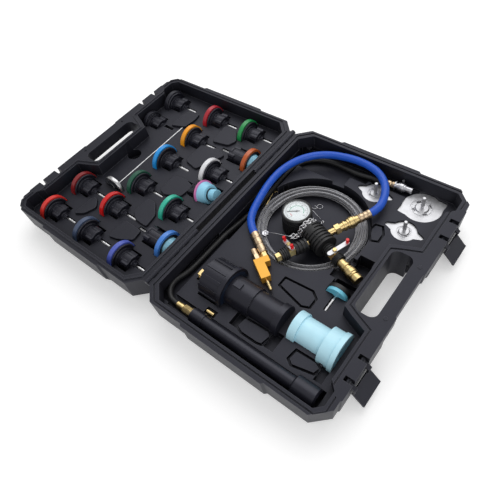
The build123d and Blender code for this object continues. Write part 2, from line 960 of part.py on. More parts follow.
def pin_bore(radius, mode):
    """Pins, or their bores, through the cheeks of the base's latch notches."""
    reach = latch_strut_width / 2 + latch_notch_play + latch_pin_bite
    for share in latch_share:
        for strut in (-1, 1):
            y = share * case_length + strut * latch_strut_spacing / 2
            pivot = Vector(hinge_x + half_width - latch_pivot_inset, y - reach, half_depth - latch_pivot_drop)
            extrude(disc(pivot, plus_y, radius), amount=2 * reach, mode=mode)


with BuildPart() as base_shell:
    case_half(1)
    knuckles(0, 1)
    rim_band(groove_offset, groove_offset + groove_width, half_depth - groove_depth, groove_depth, 1, Mode.SUBTRACT)
    pin_bore(latch_pin_radius, Mode.SUBTRACT)
    extrude(disc(well_centre, plus_z, well_radius), amount=plateau + cut_over - well_floor, mode=Mode.SUBTRACT)
    for pocket_size in base_pockets:
        pocket(*pocket_size)
    drum_seat()
    small_seat()
    grip_start = pump_start + plus_x * (pump_fitting_length + pump_collar_length + pump_barrel_length)
    turned(grip_start, plus_x, [(0, grip_radius + seat_clearance),
                                (grip_length + plunger_travel + 2 * grip_gap, grip_radius + seat_clearance)],
           mode=Mode.SUBTRACT)
    channel = valve_coupler_end - valve_length
    turned(on_filler(valve_length), filler_way, [(0, coupler_collar_radius + seat_clearance),
                                                 (channel, coupler_collar_radius + seat_clearance)],
           mode=Mode.SUBTRACT)
    for island in island_shares:
        moat(island)
    for row in cap_shares:
        plate = cap_outline(row, cap_flange_top - cap_flange_thick - seat_clearance, seat_clearance)
        extrude(plate, amount=cut_over + cap_flange_thick, mode=Mode.SUBTRACT)
        foot = spot(row[0], row[1], cap_flange_top - cap_flange_thick - cap_body_depth - seat_clearance)
        extrude(disc(foot, plus_z, cap_body_radius + seat_clearance), amount=cap_body_depth + cut_over,
                mode=Mode.SUBTRACT)
    for end in hook_ends:
        arm = end - hook_corner
        wide = 2 * (hook_radius + seat_clearance)
        way_block(hook_corner - plus_z * (hook_radius + seat_clearance), arm.normalized(),
                  (arm.length + wide, wide), plateau - well_floor, Mode.SUBTRACT)
    for end in (-1, 1):
        boss = spot(bar_boss_share[0], end * bar_boss_share[1], half_depth)
        extrude(disc(boss, plus_z, bar_boss_radius), amount=bar_boss_height)
export(base_shell, "base_shell")

with BuildPart() as latch_pins:
    pin_bore(latch_pin_radius, Mode.ADD)
export(latch_pins, "latch_pins")

with BuildPart() as hinge_pins:
    zone_length = knuckle_count * knuckle_length + (knuckle_count - 1) * knuckle_gap
    for middle in hinge_zones():
        wire_end = Vector(hinge_x, middle - zone_length / 2, hinge_z)
        extrude(disc(wire_end, plus_y, wire_radius), amount=zone_length)
export(hinge_pins, "hinge_pins")


def bar_piece(start, end, thick, y, width):
    """Flat bar between two points of the upright plane along x, as wide as asked along y."""
    way = Vector(end[0] - start[0], end[1] - start[1]).normalized()
    off = Vector(-way.Y, way.X) * (thick / 2)
    ends = (Vector(*start) - way * (thick / 2), Vector(*end) + way * (thick / 2))
    corners = [ends[0] - off, ends[1] - off, ends[1] + off, ends[0] + off]
    plane = Plane.XZ.offset(-y - width / 2)
    extrude(drawn(plane, [(corner.X, corner.Y) for corner in corners]), amount=width)


def latch(share, label):
    """Snap latch: two struts with pin eyes and the hanging plate."""
    middle = share * case_length
    pivot = (hinge_x + half_width - latch_pivot_inset, half_depth - latch_pivot_drop)
    elbow = (pivot[0] + latch_strut_reach[0], pivot[1] - latch_strut_reach[1])
    top = (pivot[0] + latch_plate_top[0], pivot[1] - latch_plate_top[1])
    foot = (pivot[0] + latch_plate_foot[0], pivot[1] - latch_plate_foot[1])
    with BuildPart() as piece:
        for strut in (-1, 1):
            y = middle + strut * latch_strut_spacing / 2
            eye = Vector(pivot[0], y - latch_strut_width / 2, pivot[1])
            extrude(disc(eye, plus_y, latch_eye_radius), amount=latch_strut_width)
            bar_piece(pivot, elbow, latch_strut_thick, y, latch_strut_width)
            bar_piece(elbow, top, latch_strut_thick, y, latch_strut_width)
            bore = disc(eye, plus_y, latch_pin_radius + latch_pin_clearance)
            extrude(bore, amount=latch_strut_width, mode=Mode.SUBTRACT)
        bar_piece(top, foot, latch_plate_thick, middle, latch_plate_width)
        lip = Vector(foot[0], middle - latch_plate_width / 2, foot[1])
        extrude(disc(lip, plus_y, latch_lip / 2), amount=latch_plate_width)
    export(piece, label)


latch(latch_share[0], "latch_front")
latch(latch_share[1], "latch_back")


# Vacuum filler

def ribbed(start, heading, length, radius, root, ribs, bore):
    """Rubber sleeve with ring ribs."""
    pitch = length / (ribs - rib_share)
    steps = []
    for k in range(ribs):
        steps += [(k * pitch, radius), ((k + 1 - rib_share) * pitch, radius)]
        if k < ribs - 1:
            steps += [((k + 1 - rib_share) * pitch, root), ((k + 1) * pitch, root)]
    turned(start, heading, steps, bore=((0, bore),))


pipe_hole = pipe_radius + pipe_clearance

with BuildPart() as venturi_sleeve:
    ribbed(on_filler(-sleeve_back), filler_way, sleeve_back + sleeve_front, sleeve_radius, sleeve_root,
           sleeve_ribs, pipe_hole)
    collar_steps = [(0, collar_radius), (collar_length, collar_radius)]
    turned(on_filler(-sleeve_back - collar_length), filler_way, collar_steps, bore=((0, pipe_hole),))
    for heading in (left_way, hose_way):
        extrude(disc(filler, heading, pipe_hole), amount=sleeve_radius + cut_over, mode=Mode.SUBTRACT)
export(venturi_sleeve, "venturi_sleeve")

with BuildPart() as valve_boots:
    for s, length in ((sleeve_front + boot_gap, valve_at - valve_length / 2 - sleeve_front - 2 * boot_gap),
                      (valve_at + valve_length / 2 + boot_gap, pipe_front - valve_at - valve_length / 2 - 2 * boot_gap)):
        ribbed(on_filler(s), filler_way, length, boot_radius, boot_root, boot_ribs, pipe_hole)
    for s, length in ((sleeve_radius + 2 * boot_gap, left_valve_at - valve_length / 2 - sleeve_radius - 4 * boot_gap),
                      (left_valve_at + valve_length / 2 + boot_gap, left_boot_length)):
        ribbed(filler + left_way * s, left_way, length, boot_radius, boot_root, boot_ribs, pipe_hole)
export(valve_boots, "valve_boots")

right_axis = plus_z
left_axis = (plus_z - filler_way * lever_lean_share).normalized()
right_hub = on_filler(valve_at)
left_hub = filler + left_way * left_valve_at

with BuildPart() as valve_bodies:
    extrude(disc(on_filler(-pipe_back), filler_way, pipe_radius), amount=pipe_back + pipe_front)
    extrude(disc(filler, left_way, pipe_radius), amount=left_end_at)
    extrude(disc(filler, hose_way, pipe_radius), amount=hose_pipe_length)
    prism(filler + hose_way * hose_pipe_length, hose_way, valve_hex, hose_coupler_start - hose_pipe_length)
    for hub, heading, axis in ((right_hub, filler_way, right_axis), (left_hub, left_way, left_axis)):
        prism(hub - heading * (valve_length / 2), heading, valve_hex, valve_length)
        extrude(disc(hub, axis, lever_stem_radius), amount=lever_lift + lever_thick + lever_nut)
    left_tail = left_valve_at + valve_length / 2 + left_boot_length + 2 * boot_gap
    prism(filler + left_way * left_tail, left_way, left_tail_hex, left_end_at - left_tail)
export(valve_bodies, "valve_bodies")


def lever(hub, axis, way, reaches, label):
    """Flat lever on a valve stem with a boss under it."""
    fit = lever_stem_radius + coupler_fit
    base = hub + axis * lever_lift
    with BuildPart() as piece:
        middle = base + way * ((reaches[1] - reaches[0]) / 2)
        with BuildSketch(Plane(origin=middle, x_dir=way, z_dir=axis)) as plate:
            RectangleRounded(reaches[0] + reaches[1], lever_width, lever_width / 2 - seat_clearance)
        extrude(plate.sketch, amount=lever_thick)
        extrude(disc(base, axis * -1, lever_boss_radius), amount=lever_boss_height)
        hole = disc(base - axis * lever_boss_height, axis, fit)
        extrude(hole, amount=lever_boss_height + lever_thick, mode=Mode.SUBTRACT)
    export(piece, label)


right_lever_way = filler_side
left_lever_way = left_way.cross(left_axis).normalized()
lever(right_hub, right_axis, right_lever_way, (lever_short, lever_long), "lever_right")
lever(left_hub, left_axis, left_lever_way, (lever_wing, lever_wing), "lever_left")


def lever_tip(hub, axis, way, places, label):
    """Red caps that stand on the ends of a lever."""
    with BuildPart() as piece:
        for place in places:
            foot = hub + axis * (lever_lift + lever_thick) + way * place
            extrude(disc(foot, axis, lever_tip_radius), amount=lever_tip_length)
    export(piece, label)


tip_inset = lever_tip_radius + seat_clearance
lever_tip(right_hub, right_axis, right_lever_way, (lever_long - tip_inset,), "lever_tip_right")
lever_tip(left_hub, left_axis, left_lever_way, (-lever_wing + tip_inset, lever_wing - tip_inset), "lever_tips_left")

# Gauge in its boot
with BuildPart() as gauge_boot:
    rise = gauge_top - gauge_foot.Z
    cavity = gauge_face - gauge_can_depth - gauge_wall - gauge_foot.Z
    ring = rise * gauge_ring_share
    groove = rise * gauge_groove_share
    steps = [(0, gauge_radius), (groove, gauge_radius), (groove, gauge_radius - gauge_step)]
    steps += [(ring, gauge_radius - gauge_step), (ring, gauge_radius), (rise - gauge_step, gauge_radius)]
    steps += [(rise, gauge_radius - gauge_step)]
    bore = ((rise, gauge_mouth_radius), (cavity, gauge_mouth_radius), (cavity, 0), (0, 0))
    turned(gauge_foot, plus_z, steps, bore=bore)
    extrude(disc(on_filler(-pipe_back), filler_way, pipe_hole), amount=cut_over * 2, mode=Mode.SUBTRACT)
    with BuildSketch(Plane(origin=gauge_foot)) as flutes:
        with PolarLocations(gauge_radius, boot_flutes):
            Rectangle(2 * boot_flute_depth, boot_flute_width)
    extrude(flutes.sketch, amount=groove - gauge_step, mode=Mode.SUBTRACT)
export(gauge_boot, "gauge_boot")

with BuildPart() as gauge_case:
    can_radius = gauge_mouth_radius - gauge_wall
    can_start = Vector(gauge_centre.X, gauge_centre.Y, gauge_face - gauge_can_depth)
    extrude(disc(can_start, plus_z, can_radius), amount=gauge_can_depth)
    extrude(disc(can_start, plus_z, spindle_radius), amount=gauge_can_depth + needle_lift + needle_thick)
export(gauge_case, "gauge_case")

with BuildPart() as gauge_pointer:
    needle_start = Vector(gauge_centre.X, gauge_centre.Y, gauge_face + needle_lift)
    needle_way = plus_x.rotate(Axis.Z, needle_turn)
    extrude(disc(needle_start, plus_z, needle_hub), amount=needle_thick)
    way_block(needle_start - needle_way * needle_tail, needle_way, (needle_tail + needle_length, needle_width), needle_thick)
    extrude(disc(needle_start, plus_z, spindle_radius + latch_pin_clearance), amount=needle_thick, mode=Mode.SUBTRACT)
export(gauge_pointer, "gauge_pointer")

with BuildPart() as gauge_lens:
    lens_foot = Vector(gauge_centre.X, gauge_centre.Y, gauge_top - lens_drop - lens_thick)
    extrude(disc(lens_foot, plus_z, can_radius), amount=lens_thick)
export(gauge_lens, "gauge_lens")


# Quick couplers
def coupler(start, heading, length, radius, shoulder_at, tail=0):
    """Coupler body with its shoulder, and an end ring where there is one."""
    steps = [(0, radius), (shoulder_at, radius), (shoulder_at, coupler_shoulder)]
    steps += [(shoulder_at + coupler_shoulder_length, coupler_shoulder), (shoulder_at + coupler_shoulder_length, radius)]
    if tail:
        steps += [(length - tail, radius), (length - tail, coupler_shoulder), (length, coupler_shoulder)]
    else:
        steps += [(length, radius)]
    turned(start, heading, steps)


def collar(start, heading, length, outer, inner, label):
    """Sliding collar with a knurled belt."""
    belt = length * collar_belt_share
    steps = [(0, outer - collar_step), (belt, outer - collar_step), (belt, outer), (length - belt, outer)]
    steps += [(length - belt, outer - collar_step), (length, outer - collar_step)]
    with BuildPart() as piece:
        turned(start, heading, steps, bore=((0, inner + coupler_fit),))
    export(piece, label)


hose_coupler = filler + hose_way * (hose_coupler_start + grip_gap)
valve_coupler = on_filler(valve_coupler_start + grip_gap)
valve_shoulder = coupler_shoulder_length * 3

with BuildPart() as coupler_bodies:
    coupler(hose_coupler, hose_way, hose_coupler_end - hose_coupler_start - grip_gap, coupler_radius,
            2 * coupler_shoulder_length)
    coupler(valve_coupler, filler_way, valve_coupler_end - valve_coupler_start - grip_gap, coupler_radius,
            valve_shoulder, coupler_tail)
export(coupler_bodies, "coupler_bodies")

hose_collar = hose_coupler + hose_way * (3 * coupler_shoulder_length + coupler_collar_travel + coupler_play)
valve_collar = valve_coupler + filler_way * (4 * coupler_shoulder_length + coupler_collar_travel + coupler_play)
collar(hose_collar, hose_way, coupler_collar_length, coupler_collar_radius, coupler_radius, "collar_hose")
collar(valve_collar, filler_way, coupler_collar_length, coupler_collar_radius, coupler_radius, "collar_valve")

steel_body = steel_start + steel_way * (ferrule_length + grip_gap)
steel_shoulder = coupler_shoulder_length / 2
with BuildPart() as steel_coupler:
    steps = [(0, steel_collar_radius), (steel_shoulder, steel_collar_radius), (steel_shoulder, steel_coupler_radius)]
    steps += [(steel_coupler_length, steel_coupler_radius)]
    turned(steel_body, steel_way, steps)
export(steel_coupler, "steel_coupler")
steel_collar = steel_body + steel_way * (steel_shoulder + coupler_collar_travel + coupler_play)
collar(steel_collar, steel_way, steel_collar_length, steel_collar_radius, steel_coupler_radius, "collar_steel")

# Tee block on the filling hose
tee_middle = tee_corner + plus_z * (tee_thick / 2)
tee_hose_start = tee_middle + tee_side * (tee_height * tee_joint_share)
tee_hose_end = tee_hose_start - tee_way * (tee_hex_length + left_ferrule_length)
with BuildPart() as tee_block:
    foot_middle = tee_corner + tee_way * (tee_length / 2) + tee_side * (tee_foot / 2)
    block(foot_middle, (tee_length, tee_foot), tee_thick, turn=tee_turn)
    leg_middle = tee_corner + tee_way * (tee_leg / 2) + tee_side * (tee_height / 2)
    block(leg_middle, (tee_leg, tee_height), tee_thick, turn=tee_turn)
export(tee_block, "tee_block")

with BuildPart() as tee_fittings:
    prism(tee_hose_start, tee_way * -1, tee_hex, tee_hex_length)
    barb_start = tee_middle + tee_way * tee_length + tee_side * (tee_foot / 2)
    turned(barb_start, tee_way, barbed(tee_barb_length, tee_barb_radius * tee_barb_root_share, tee_barb_radius, stem_barbs))
export(tee_fittings, "tee_fittings")

with BuildPart() as tee_plug:
    plug_start = tee_middle + tee_side * (tee_foot / 2)
    prism(plug_start, tee_way * -1, tee_hex, tee_plug_length * tee_plug_hex_share)
    turned(plug_start - tee_way * (tee_plug_length * tee_plug_hex_share), tee_way * -1,
           stepped((tee_plug_length * (1 - tee_plug_hex_share), tee_plug_radius)))
export(tee_plug, "tee_plug")

# Hose ends
with BuildPart() as hose_ferrules:
    ferrule_start = filler + hose_way * (hose_coupler_end + grip_gap)
    turned(ferrule_start, hose_way, [(0, ferrule_radius), (ferrule_length, ferrule_radius)])
    turned(tee_hose_start - tee_way * (tee_hex_length + grip_gap), tee_way * -1,
           [(0, ferrule_radius), (left_ferrule_length - grip_gap, ferrule_radius)])
    turned(steel_start, steel_way, [(0, steel_ferrule_radius), (ferrule_length, steel_ferrule_radius)])
export(hose_ferrules, "hose_ferrules")
blue_start = ferrule_start + hose_way * ferrule_length


def tube(points, radius, sides):
    """Hose of a many-sided section: straight runs joined by arcs."""
    radii = []
    for before, corner, after in zip(points, points[1:], points[2:]):
        one = corner - before
        two = after - corner
        half = math.radians(one.get_angle(two)) / 2
        radii.append(arc_share * min(one.length, two.length) / math.tan(half))
    with BuildLine() as route:
        FilletPolyline(*points, radius=radii)
    first = points[1] - points[0]
    with BuildSketch(Plane(origin=points[0], z_dir=first)) as section:
        RegularPolygon(radius=radius, side_count=sides)
    sweep(section.sketch, path=route.wire())
    area = section.sketch.area
    print("cord radius", radius, "smallest arc", round(min(radii), 1), "length", round(route.wire().length, 1),
          "section volume", round(area * route.wire().length))


blue_route = (
    (0.6673, 0.3197, 62.9), (0.6604, 0.3616, 64.0), (0.6365, 0.3996, 64.0), (0.5984, 0.4301, 64.0),
    (0.5498, 0.4504, 64.0), (0.4956, 0.4588, 64.0), (0.4404, 0.4565, 64.0), (0.3853, 0.4529, 63.7),
    (0.3304, 0.4473, 63.1), (0.2770, 0.4364, 62.5), (0.2270, 0.4184, 61.8), (0.1828, 0.3930, 61.2),
    (0.1465, 0.3612, 60.7), (0.1193, 0.3245, 60.1), (0.1013, 0.2846, 59.4), (0.0921, 0.2430, 58.8),
    (0.0909, 0.2009, 58.1), (0.0961, 0.1589, 57.4), (0.1056, 0.1174, 56.5), (0.1171, 0.0762, 55.6),
    (0.1302, 0.0352, 54.3), (0.1514, -0.0037, 52.6),
)
with BuildPart() as blue_hose:
    points = [blue_start, blue_start + hose_way * blue_lead]
    points += [spot(*place) for place in blue_route]
    points += [tee_hose_end - tee_way * blue_lead, tee_hose_end]
    tube(points, blue_radius, hose_sides)
export(blue_hose, "blue_hose")

pump_route = (
    (0.0914, -0.4225, 41.5), (0.0681, -0.4015, 40.9), (0.0572, -0.3754, 40.0), (0.0593, -0.3480, 39.0),
    (0.0703, -0.3218, 38.2), (0.0756, -0.2947, 37.6), (0.0770, -0.2672, 37.1), (0.0773, -0.2398, 36.7),
    (0.0774, -0.2123, 36.4), (0.0775, -0.1848, 36.2), (0.0775, -0.1574, 35.9), (0.0775, -0.1299, 35.5),
    (0.0775, -0.1025, 34.9), (0.0775, -0.0750, 32.5), (0.0775, -0.0476, 29.0), (0.0775, -0.0201, 26.1),
    (0.0775, 0.0074, 23.4), (0.0775, 0.0348, 21.6), (0.0775, 0.0623, 20.5), (0.0775, 0.0897, 20.0),
    (0.0775, 0.1172, 19.9), (0.0775, 0.1446, 19.8), (0.0776, 0.1721, 19.8), (0.0778, 0.1996, 20.1),
    (0.0782, 0.2270, 20.5), (0.0792, 0.2545, 22.1), (0.0817, 0.2819, 24.7), (0.0869, 0.3090, 28.2),
    (0.0960, 0.3356, 32.1), (0.1105, 0.3608, 36.0), (0.1304, 0.3836, 37.8), (0.1556, 0.4033, 38.4),
    (0.1856, 0.4184, 38.6), (0.2187, 0.4292, 38.6), (0.2537, 0.4360, 38.6), (0.2895, 0.4387, 38.6),
    (0.3256, 0.4384, 38.6), (0.3615, 0.4362, 38.9), (0.3973, 0.4334, 39.3), (0.4333, 0.4313, 40.5),
    (0.4693, 0.4307, 42.3), (0.5053, 0.4319, 44.8),
)
with BuildPart() as pump_hose:
    points = [pump_start, pump_start - plus_x * pump_leads[0]]
    points += [spot(*place) for place in pump_route]
    points += [steel_start - steel_way * pump_leads[1], steel_start]
    tube(points, black_radius, hose_sides)
export(pump_hose, "pump_hose")


def coil_route():
    """Half circles that spiral out below, climb once and spiral in above."""
    low, high = coil_layers
    side = 1
    with BuildLine() as route:
        first = Vector(well_centre.X + coil_rings[0], well_centre.Y, low)
        Line(first - plus_y * coil_end, first)
        for k in range(len(coil_rings) - 1):
            height = low if k <= coil_turnover else high
            start = Vector(well_centre.X + side * coil_rings[k], well_centre.Y, height)
            rise = high - low if k == coil_turnover else 0
            end = Vector(well_centre.X - side * coil_rings[k + 1], well_centre.Y, height + rise)
            middle = (start + end) * 0.5 + plus_y * (side * (end - start).length / 2)
            ThreePointArc(start, middle, end)
            side = -side
        Line(end, end + plus_y * (side * coil_end))
    return route.wire()


with BuildPart() as clear_tube:
    coil = coil_route()
    section_plane = Plane(origin=coil @ 0, z_dir=coil % 0)
    with BuildSketch(section_plane) as section:
        RegularPolygon(radius=clear_radius, side_count=coil_sides)
    sweep(section.sketch, path=coil)
    gaps = [abs(b - a) for a, b in zip(coil_rings, coil_rings[2:])]
    print("coil length", round(coil.length), "volume", round(clear_tube.part.volume),
          "section times length", round(section.sketch.area * coil.length),
          "least gap", min(gaps[:3] + [coil_layers[1] - coil_layers[0]]) - 2 * clear_radius)
export(clear_tube, "clear_tube")

# Hand pump
barrel_start = pump_start + plus_x * pump_fitting_length
barrel_end = barrel_start + plus_x * (pump_collar_length + pump_barrel_length)
with BuildPart() as pump_barrel:
    total = pump_collar_length + pump_barrel_length
    steps = stepped((pump_collar_length, pump_collar_radius), (pump_barrel_length, pump_radius))
    rod_hole = rod_radius + rod_clearance
    bore = ((total, rod_hole), (total - pump_wall, rod_hole), (total - pump_wall, pump_bore),
            (pump_collar_length, pump_bore), (pump_collar_length, 0), (0, 0))
    turned(barrel_start, plus_x, steps, bore=bore)
export(pump_barrel, "pump_barrel")

with BuildPart() as pump_handle:
    handle_start = barrel_end + plus_x * grip_gap
    steps = [(0, grip_radius - grip_chamfer), (grip_chamfer, grip_radius)]
    steps += [(grip_length - grip_chamfer, grip_radius), (grip_length, grip_radius - grip_chamfer)]
    turned(handle_start, plus_x, steps)
export(pump_handle, "pump_handle")

with BuildPart() as pump_rod:
    steps = stepped((piston_length, piston_radius), (rod_length, rod_radius))
    turned(handle_start - plus_x * (rod_length + piston_length), plus_x, steps)
export(pump_rod, "pump_rod")

# Large neck adapter
with BuildPart() as neck_cap:
    recess = drum_length - drum_recess
    steps = [(0, drum_radius), (drum_length - drum_lip, drum_radius), (drum_length - drum_lip, drum_band_radius)]
    steps += [(drum_length, drum_band_radius)]
    bore = ((drum_length, seal_radius + seat_clearance), (recess, seal_radius + seat_clearance), (recess, 0), (0, 0))
    turned(drum_start, plus_x, steps, bore=bore)
    with BuildSketch(Plane(origin=drum_start, x_dir=plus_y, z_dir=plus_x)) as rib_face:
        with PolarLocations(drum_radius, drum_rib_count):
            Rectangle(2 * drum_rib_rise, drum_rib_width)
    extrude(rib_face.sketch, amount=drum_length * drum_rib_share)
export(neck_cap, "neck_cap")

throat_start = drum_start + plus_x * (drum_length - drum_recess + seat_clearance)
with BuildPart() as neck_seal:
    turned(throat_start, plus_x, stepped((drum_recess, seal_radius)), bore=((0, throat_radius + seat_clearance),))
export(neck_seal, "neck_seal")

with BuildPart() as neck_tube:
    reach = throat_length + drum_recess - seat_clearance
    steps = stepped((reach, throat_radius), (tube_length, tube_radius), (end_ring_width, end_ring_radius))
    turned(throat_start, plus_x, steps)
    key_foot = drum_start + plus_x * (drum_length + key_length) + plus_z * (throat_radius - key_height)
    block(key_foot, (key_length, key_width), 2 * key_height)
export(neck_tube, "neck_tube")

with BuildPart() as blue_adapter:
    steps = stepped((cup_flange_width, cup_flange_radius), (cup_body_length, cup_radius),
                    (cup_bell_length, cup_bell_radius), (cup_rim_width, cup_rim_radius))
    total = steps[-1][0]
    bell = cup_flange_width + cup_body_length + cup_wall
    bore = ((total, cup_bell_radius - cup_wall), (bell, cup_bell_radius - cup_wall), (bell, cup_radius - cup_wall),
            (0, cup_radius - cup_wall))
    turned(cup_start, plus_x, steps, bore=bore)
export(blue_adapter, "blue_adapter")

# Small adapter
small_way = plus_y * -1
with BuildPart() as small_seal:
    turned(small_start, small_way, stepped((small_seal_width, small_seal_radius)))
export(small_seal, "small_seal")
with BuildPart() as small_disc:
    turned(small_start + small_way * small_seal_width, small_way, stepped((small_disc_width, small_disc_radius)))
export(small_disc, "small_disc")
with BuildPart() as small_stem:
    stem_foot = small_start + small_way * (small_seal_width + small_disc_width)
    turned(stem_foot, small_way, barbed(stem_length + small_neck_length, stem_radius, stem_barb_radius, stem_barbs))
export(small_stem, "small_stem")

# Radiator caps
with BuildPart() as cap_plates:
    for row in cap_shares:
        foot = spot(row[0], row[1], cap_flange_top - cap_flange_thick - cap_body_depth)
        extrude(cap_outline(row, cap_flange_top - cap_flange_thick), amount=cap_flange_thick)
        extrude(disc(foot, plus_z, cap_body_radius), amount=cap_body_depth)
        top = spot(row[0], row[1], cap_flange_top)
        boss = cap_boss_radius * row[2] ** cap_boss_power
        turned(top, plus_z, [(0, boss), (cap_boss_height, boss * cap_boss_taper_share)])
        inner, outer = (cap_plate_radius * row[2] * share for share in cap_ring_share)
        turned(top, plus_z, [(-cap_ring_depth, outer), (cut_over, outer)], bore=((0, inner),), mode=Mode.SUBTRACT)
        with BuildSketch(Plane(origin=top - plus_z * cap_ring_depth)) as slots:
            with PolarLocations((boss + inner) / 2, cap_slot_count, start_angle=lug_turn):
                Rectangle(inner - boss - cap_ring_depth, cap_slot_arc * row[2])
        extrude(slots.sketch, amount=-cap_flange_thick, mode=Mode.SUBTRACT)
        extrude(slots.sketch, amount=cut_over, mode=Mode.SUBTRACT)
export(cap_plates, "cap_plates")

with BuildPart() as cap_nipples:
    for row in cap_shares:
        top = spot(row[0], row[1], cap_flange_top + cap_boss_height)
        rise = cap_nipple_top - top.Z
        turned(top, plus_z, barbed(rise, cap_nipple_radius * tee_barb_root_share, cap_nipple_radius, stem_barbs))
export(cap_nipples, "cap_nipples")

# Small brass pieces, steel bit and tube clamp
with BuildPart() as brass_fittings:
    ferrule = pump_fitting_length * fitting_ferrule_share
    turned(pump_start, plus_x, stepped((ferrule, pump_fitting_radius)))
    prism(pump_start + plus_x * ferrule, plus_x, pump_hex, pump_fitting_length - ferrule)
    turned(elbow_corner, plus_z * -1, stepped((elbow_arm, elbow_nut_radius)))
    block(elbow_corner - plus_z * elbow_radius, (2 * elbow_nut_radius, 2 * elbow_nut_radius), 2 * elbow_radius)
    prism(elbow_corner - plus_z * (elbow_arm - elbow_radius), plus_z, elbow_hex, elbow_arm * elbow_hex_share)
    turned(elbow_corner, plus_y, barbed(elbow_barb, elbow_radius * tee_barb_root_share, elbow_radius, stem_barbs))
    turned(tap_start, plus_x, stepped((tap_length, tap_radius)))
export(brass_fittings, "brass_fittings")

with BuildPart() as brass_hook:
    for end in hook_ends:
        arm = end - hook_corner
        extrude(disc(hook_corner, arm.normalized(), hook_radius), amount=arm.length)
export(brass_hook, "brass_hook")

with BuildPart() as tube_clamp:
    clamp_foot = spot(0.245, -0.0095, coil_layers[1] + clear_radius + seat_clearance)
    prism(clamp_foot, plus_z, clamp_size / 2, clamp_thick)
export(tube_clamp, "tube_clamp")

with BuildPart() as steel_bit:
    bit_start = spot(0.6625, 0.467, steel_height - steel_collar_radius)
    extrude(disc(bit_start, plus_z, bit_radius), amount=bit_length)
export(steel_bit, "steel_bit")


# Chain round the collar
def link(centre, way, normal):
    """Flat six-sided chain link."""
    with BuildSketch(Plane(origin=centre, x_dir=way, z_dir=normal)) as face:
        RegularPolygon(radius=link_radius, side_count=6)
        RegularPolygon(radius=link_radius - link_wire, side_count=6, mode=Mode.SUBTRACT)
    extrude(face.sketch, amount=link_wire)


with BuildPart() as chain:
    draped = collar_radius + chain_gap
    step = math.degrees(link_turn_share * 2 * link_radius / draped)
    for row in range(link_rows):
        s = -sleeve_back - row_pitch * (row + link_row_share)
        for k in range(links_per_row):
            angle = (k - (links_per_row - 1) / 2) * step
            out = plus_z.rotate(Axis((0, 0, 0), filler_way), angle)
            link(on_filler(s) + out * draped, filler_way, out)
export(chain, "chain")
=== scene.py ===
# %% [markdown]
# # A vacuum filling kit for cooling systems, in its open case
# The exact shapes come from a CAD model, which this script loads and never changes. Here each
# surface gets its look, and the hoses, the chain and the dial, which are hard to draw in CAD, are
# made as smooth curves and fine meshes.

# %% Load the CAD model
import math

import bmesh
import bpy
from mathutils import Matrix, Vector


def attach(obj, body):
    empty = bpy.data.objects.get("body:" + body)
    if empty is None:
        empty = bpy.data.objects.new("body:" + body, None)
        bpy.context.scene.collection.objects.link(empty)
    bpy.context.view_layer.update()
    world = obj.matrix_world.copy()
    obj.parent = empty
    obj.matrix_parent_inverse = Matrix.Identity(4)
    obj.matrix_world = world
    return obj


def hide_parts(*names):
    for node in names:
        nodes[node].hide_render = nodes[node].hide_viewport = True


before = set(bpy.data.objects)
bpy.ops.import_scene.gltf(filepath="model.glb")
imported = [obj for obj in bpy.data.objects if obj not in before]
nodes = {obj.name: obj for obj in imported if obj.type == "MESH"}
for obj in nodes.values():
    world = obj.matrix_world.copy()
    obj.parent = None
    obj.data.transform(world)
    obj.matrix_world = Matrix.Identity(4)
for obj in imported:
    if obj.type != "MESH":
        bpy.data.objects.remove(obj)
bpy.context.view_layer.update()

scene = bpy.context.scene
print("CAD nodes:", len(nodes))

# %% [markdown]
# The camera stands where the photo was taken: above the corner of the open case, looking down
# across it. Its place came from matching the corners of both case halves. Three directions, right,
# up and backwards, make the rotation.

# %% Camera
film_width = 36.0
focal_length = 36.17
eye = Vector((0.3068, -0.4373, 0.8016))
forward = Vector((-0.45654, 0.40435, -0.79251))
right = Vector((0.77544, 0.61754, -0.13163))
up = Vector((-0.43619, 0.67464, 0.59549))
lens = bpy.data.cameras.new("camera")
lens.sensor_width = film_width
lens.lens = focal_length
camera = bpy.data.objects.new("camera", lens)
turn = Matrix((right, up, -forward)).transposed()
camera.matrix_world = Matrix.Translation(eye) @ turn.to_4x4()
scene.collection.objects.link(camera)
scene.camera = camera
print("camera lens:", round(lens.lens, 2), "mm")

# %% [markdown]
# A hose is easiest to draw as a curve with a round bevel: the curve is the middle line, and the
# bevel is the hose's radius. The points below are control points, which pull the line towards them
# without lying on it, so the hose bends smoothly, as rubber does. Each point's own radius multiplies
# the bevel. Blender counts it in the curve's box, so it is kept small and the bevel makes up for it.

# %% A helper for hoses
point_radius = 0.004


def round_line(name, points, radius, order=3, steps=6, around=10):
    """A round hose or wire along a smooth line that the points pull into shape."""
    data = bpy.data.curves.new(name, "CURVE")
    data.dimensions = "3D"
    line = data.splines.new("NURBS")
    line.points.add(len(points) - 1)
    for point, place in zip(line.points, points):
        point.co = (*place, 1.0)
        point.radius = point_radius
    line.order_u = order
    line.use_endpoint_u = True
    line.resolution_u = steps
    data.bevel_depth = radius / point_radius
    data.bevel_resolution = around
    data.use_fill_caps = True
    piece = bpy.data.objects.new(name, data)
    scene.collection.objects.link(piece)
    print(name, "control points:", len(points))
    return piece


# %% [markdown]
# A hose is sold by its length, so the length of each middle line is measured. Without its bevel a
# curve turns into a plain chain of points, and the distances between them add up to the length.

# %% A helper that measures a hose
def line_length(piece):
    """The length of a curve's middle line."""
    data = piece.data
    width, data.bevel_depth = data.bevel_depth, 0.0
    mesh = bpy.data.meshes.new_from_object(piece)
    data.bevel_depth = width
    places = [v.co.copy() for v in mesh.vertices]
    bpy.data.meshes.remove(mesh)
    return sum((two - one).length for one, two in zip(places, places[1:]))


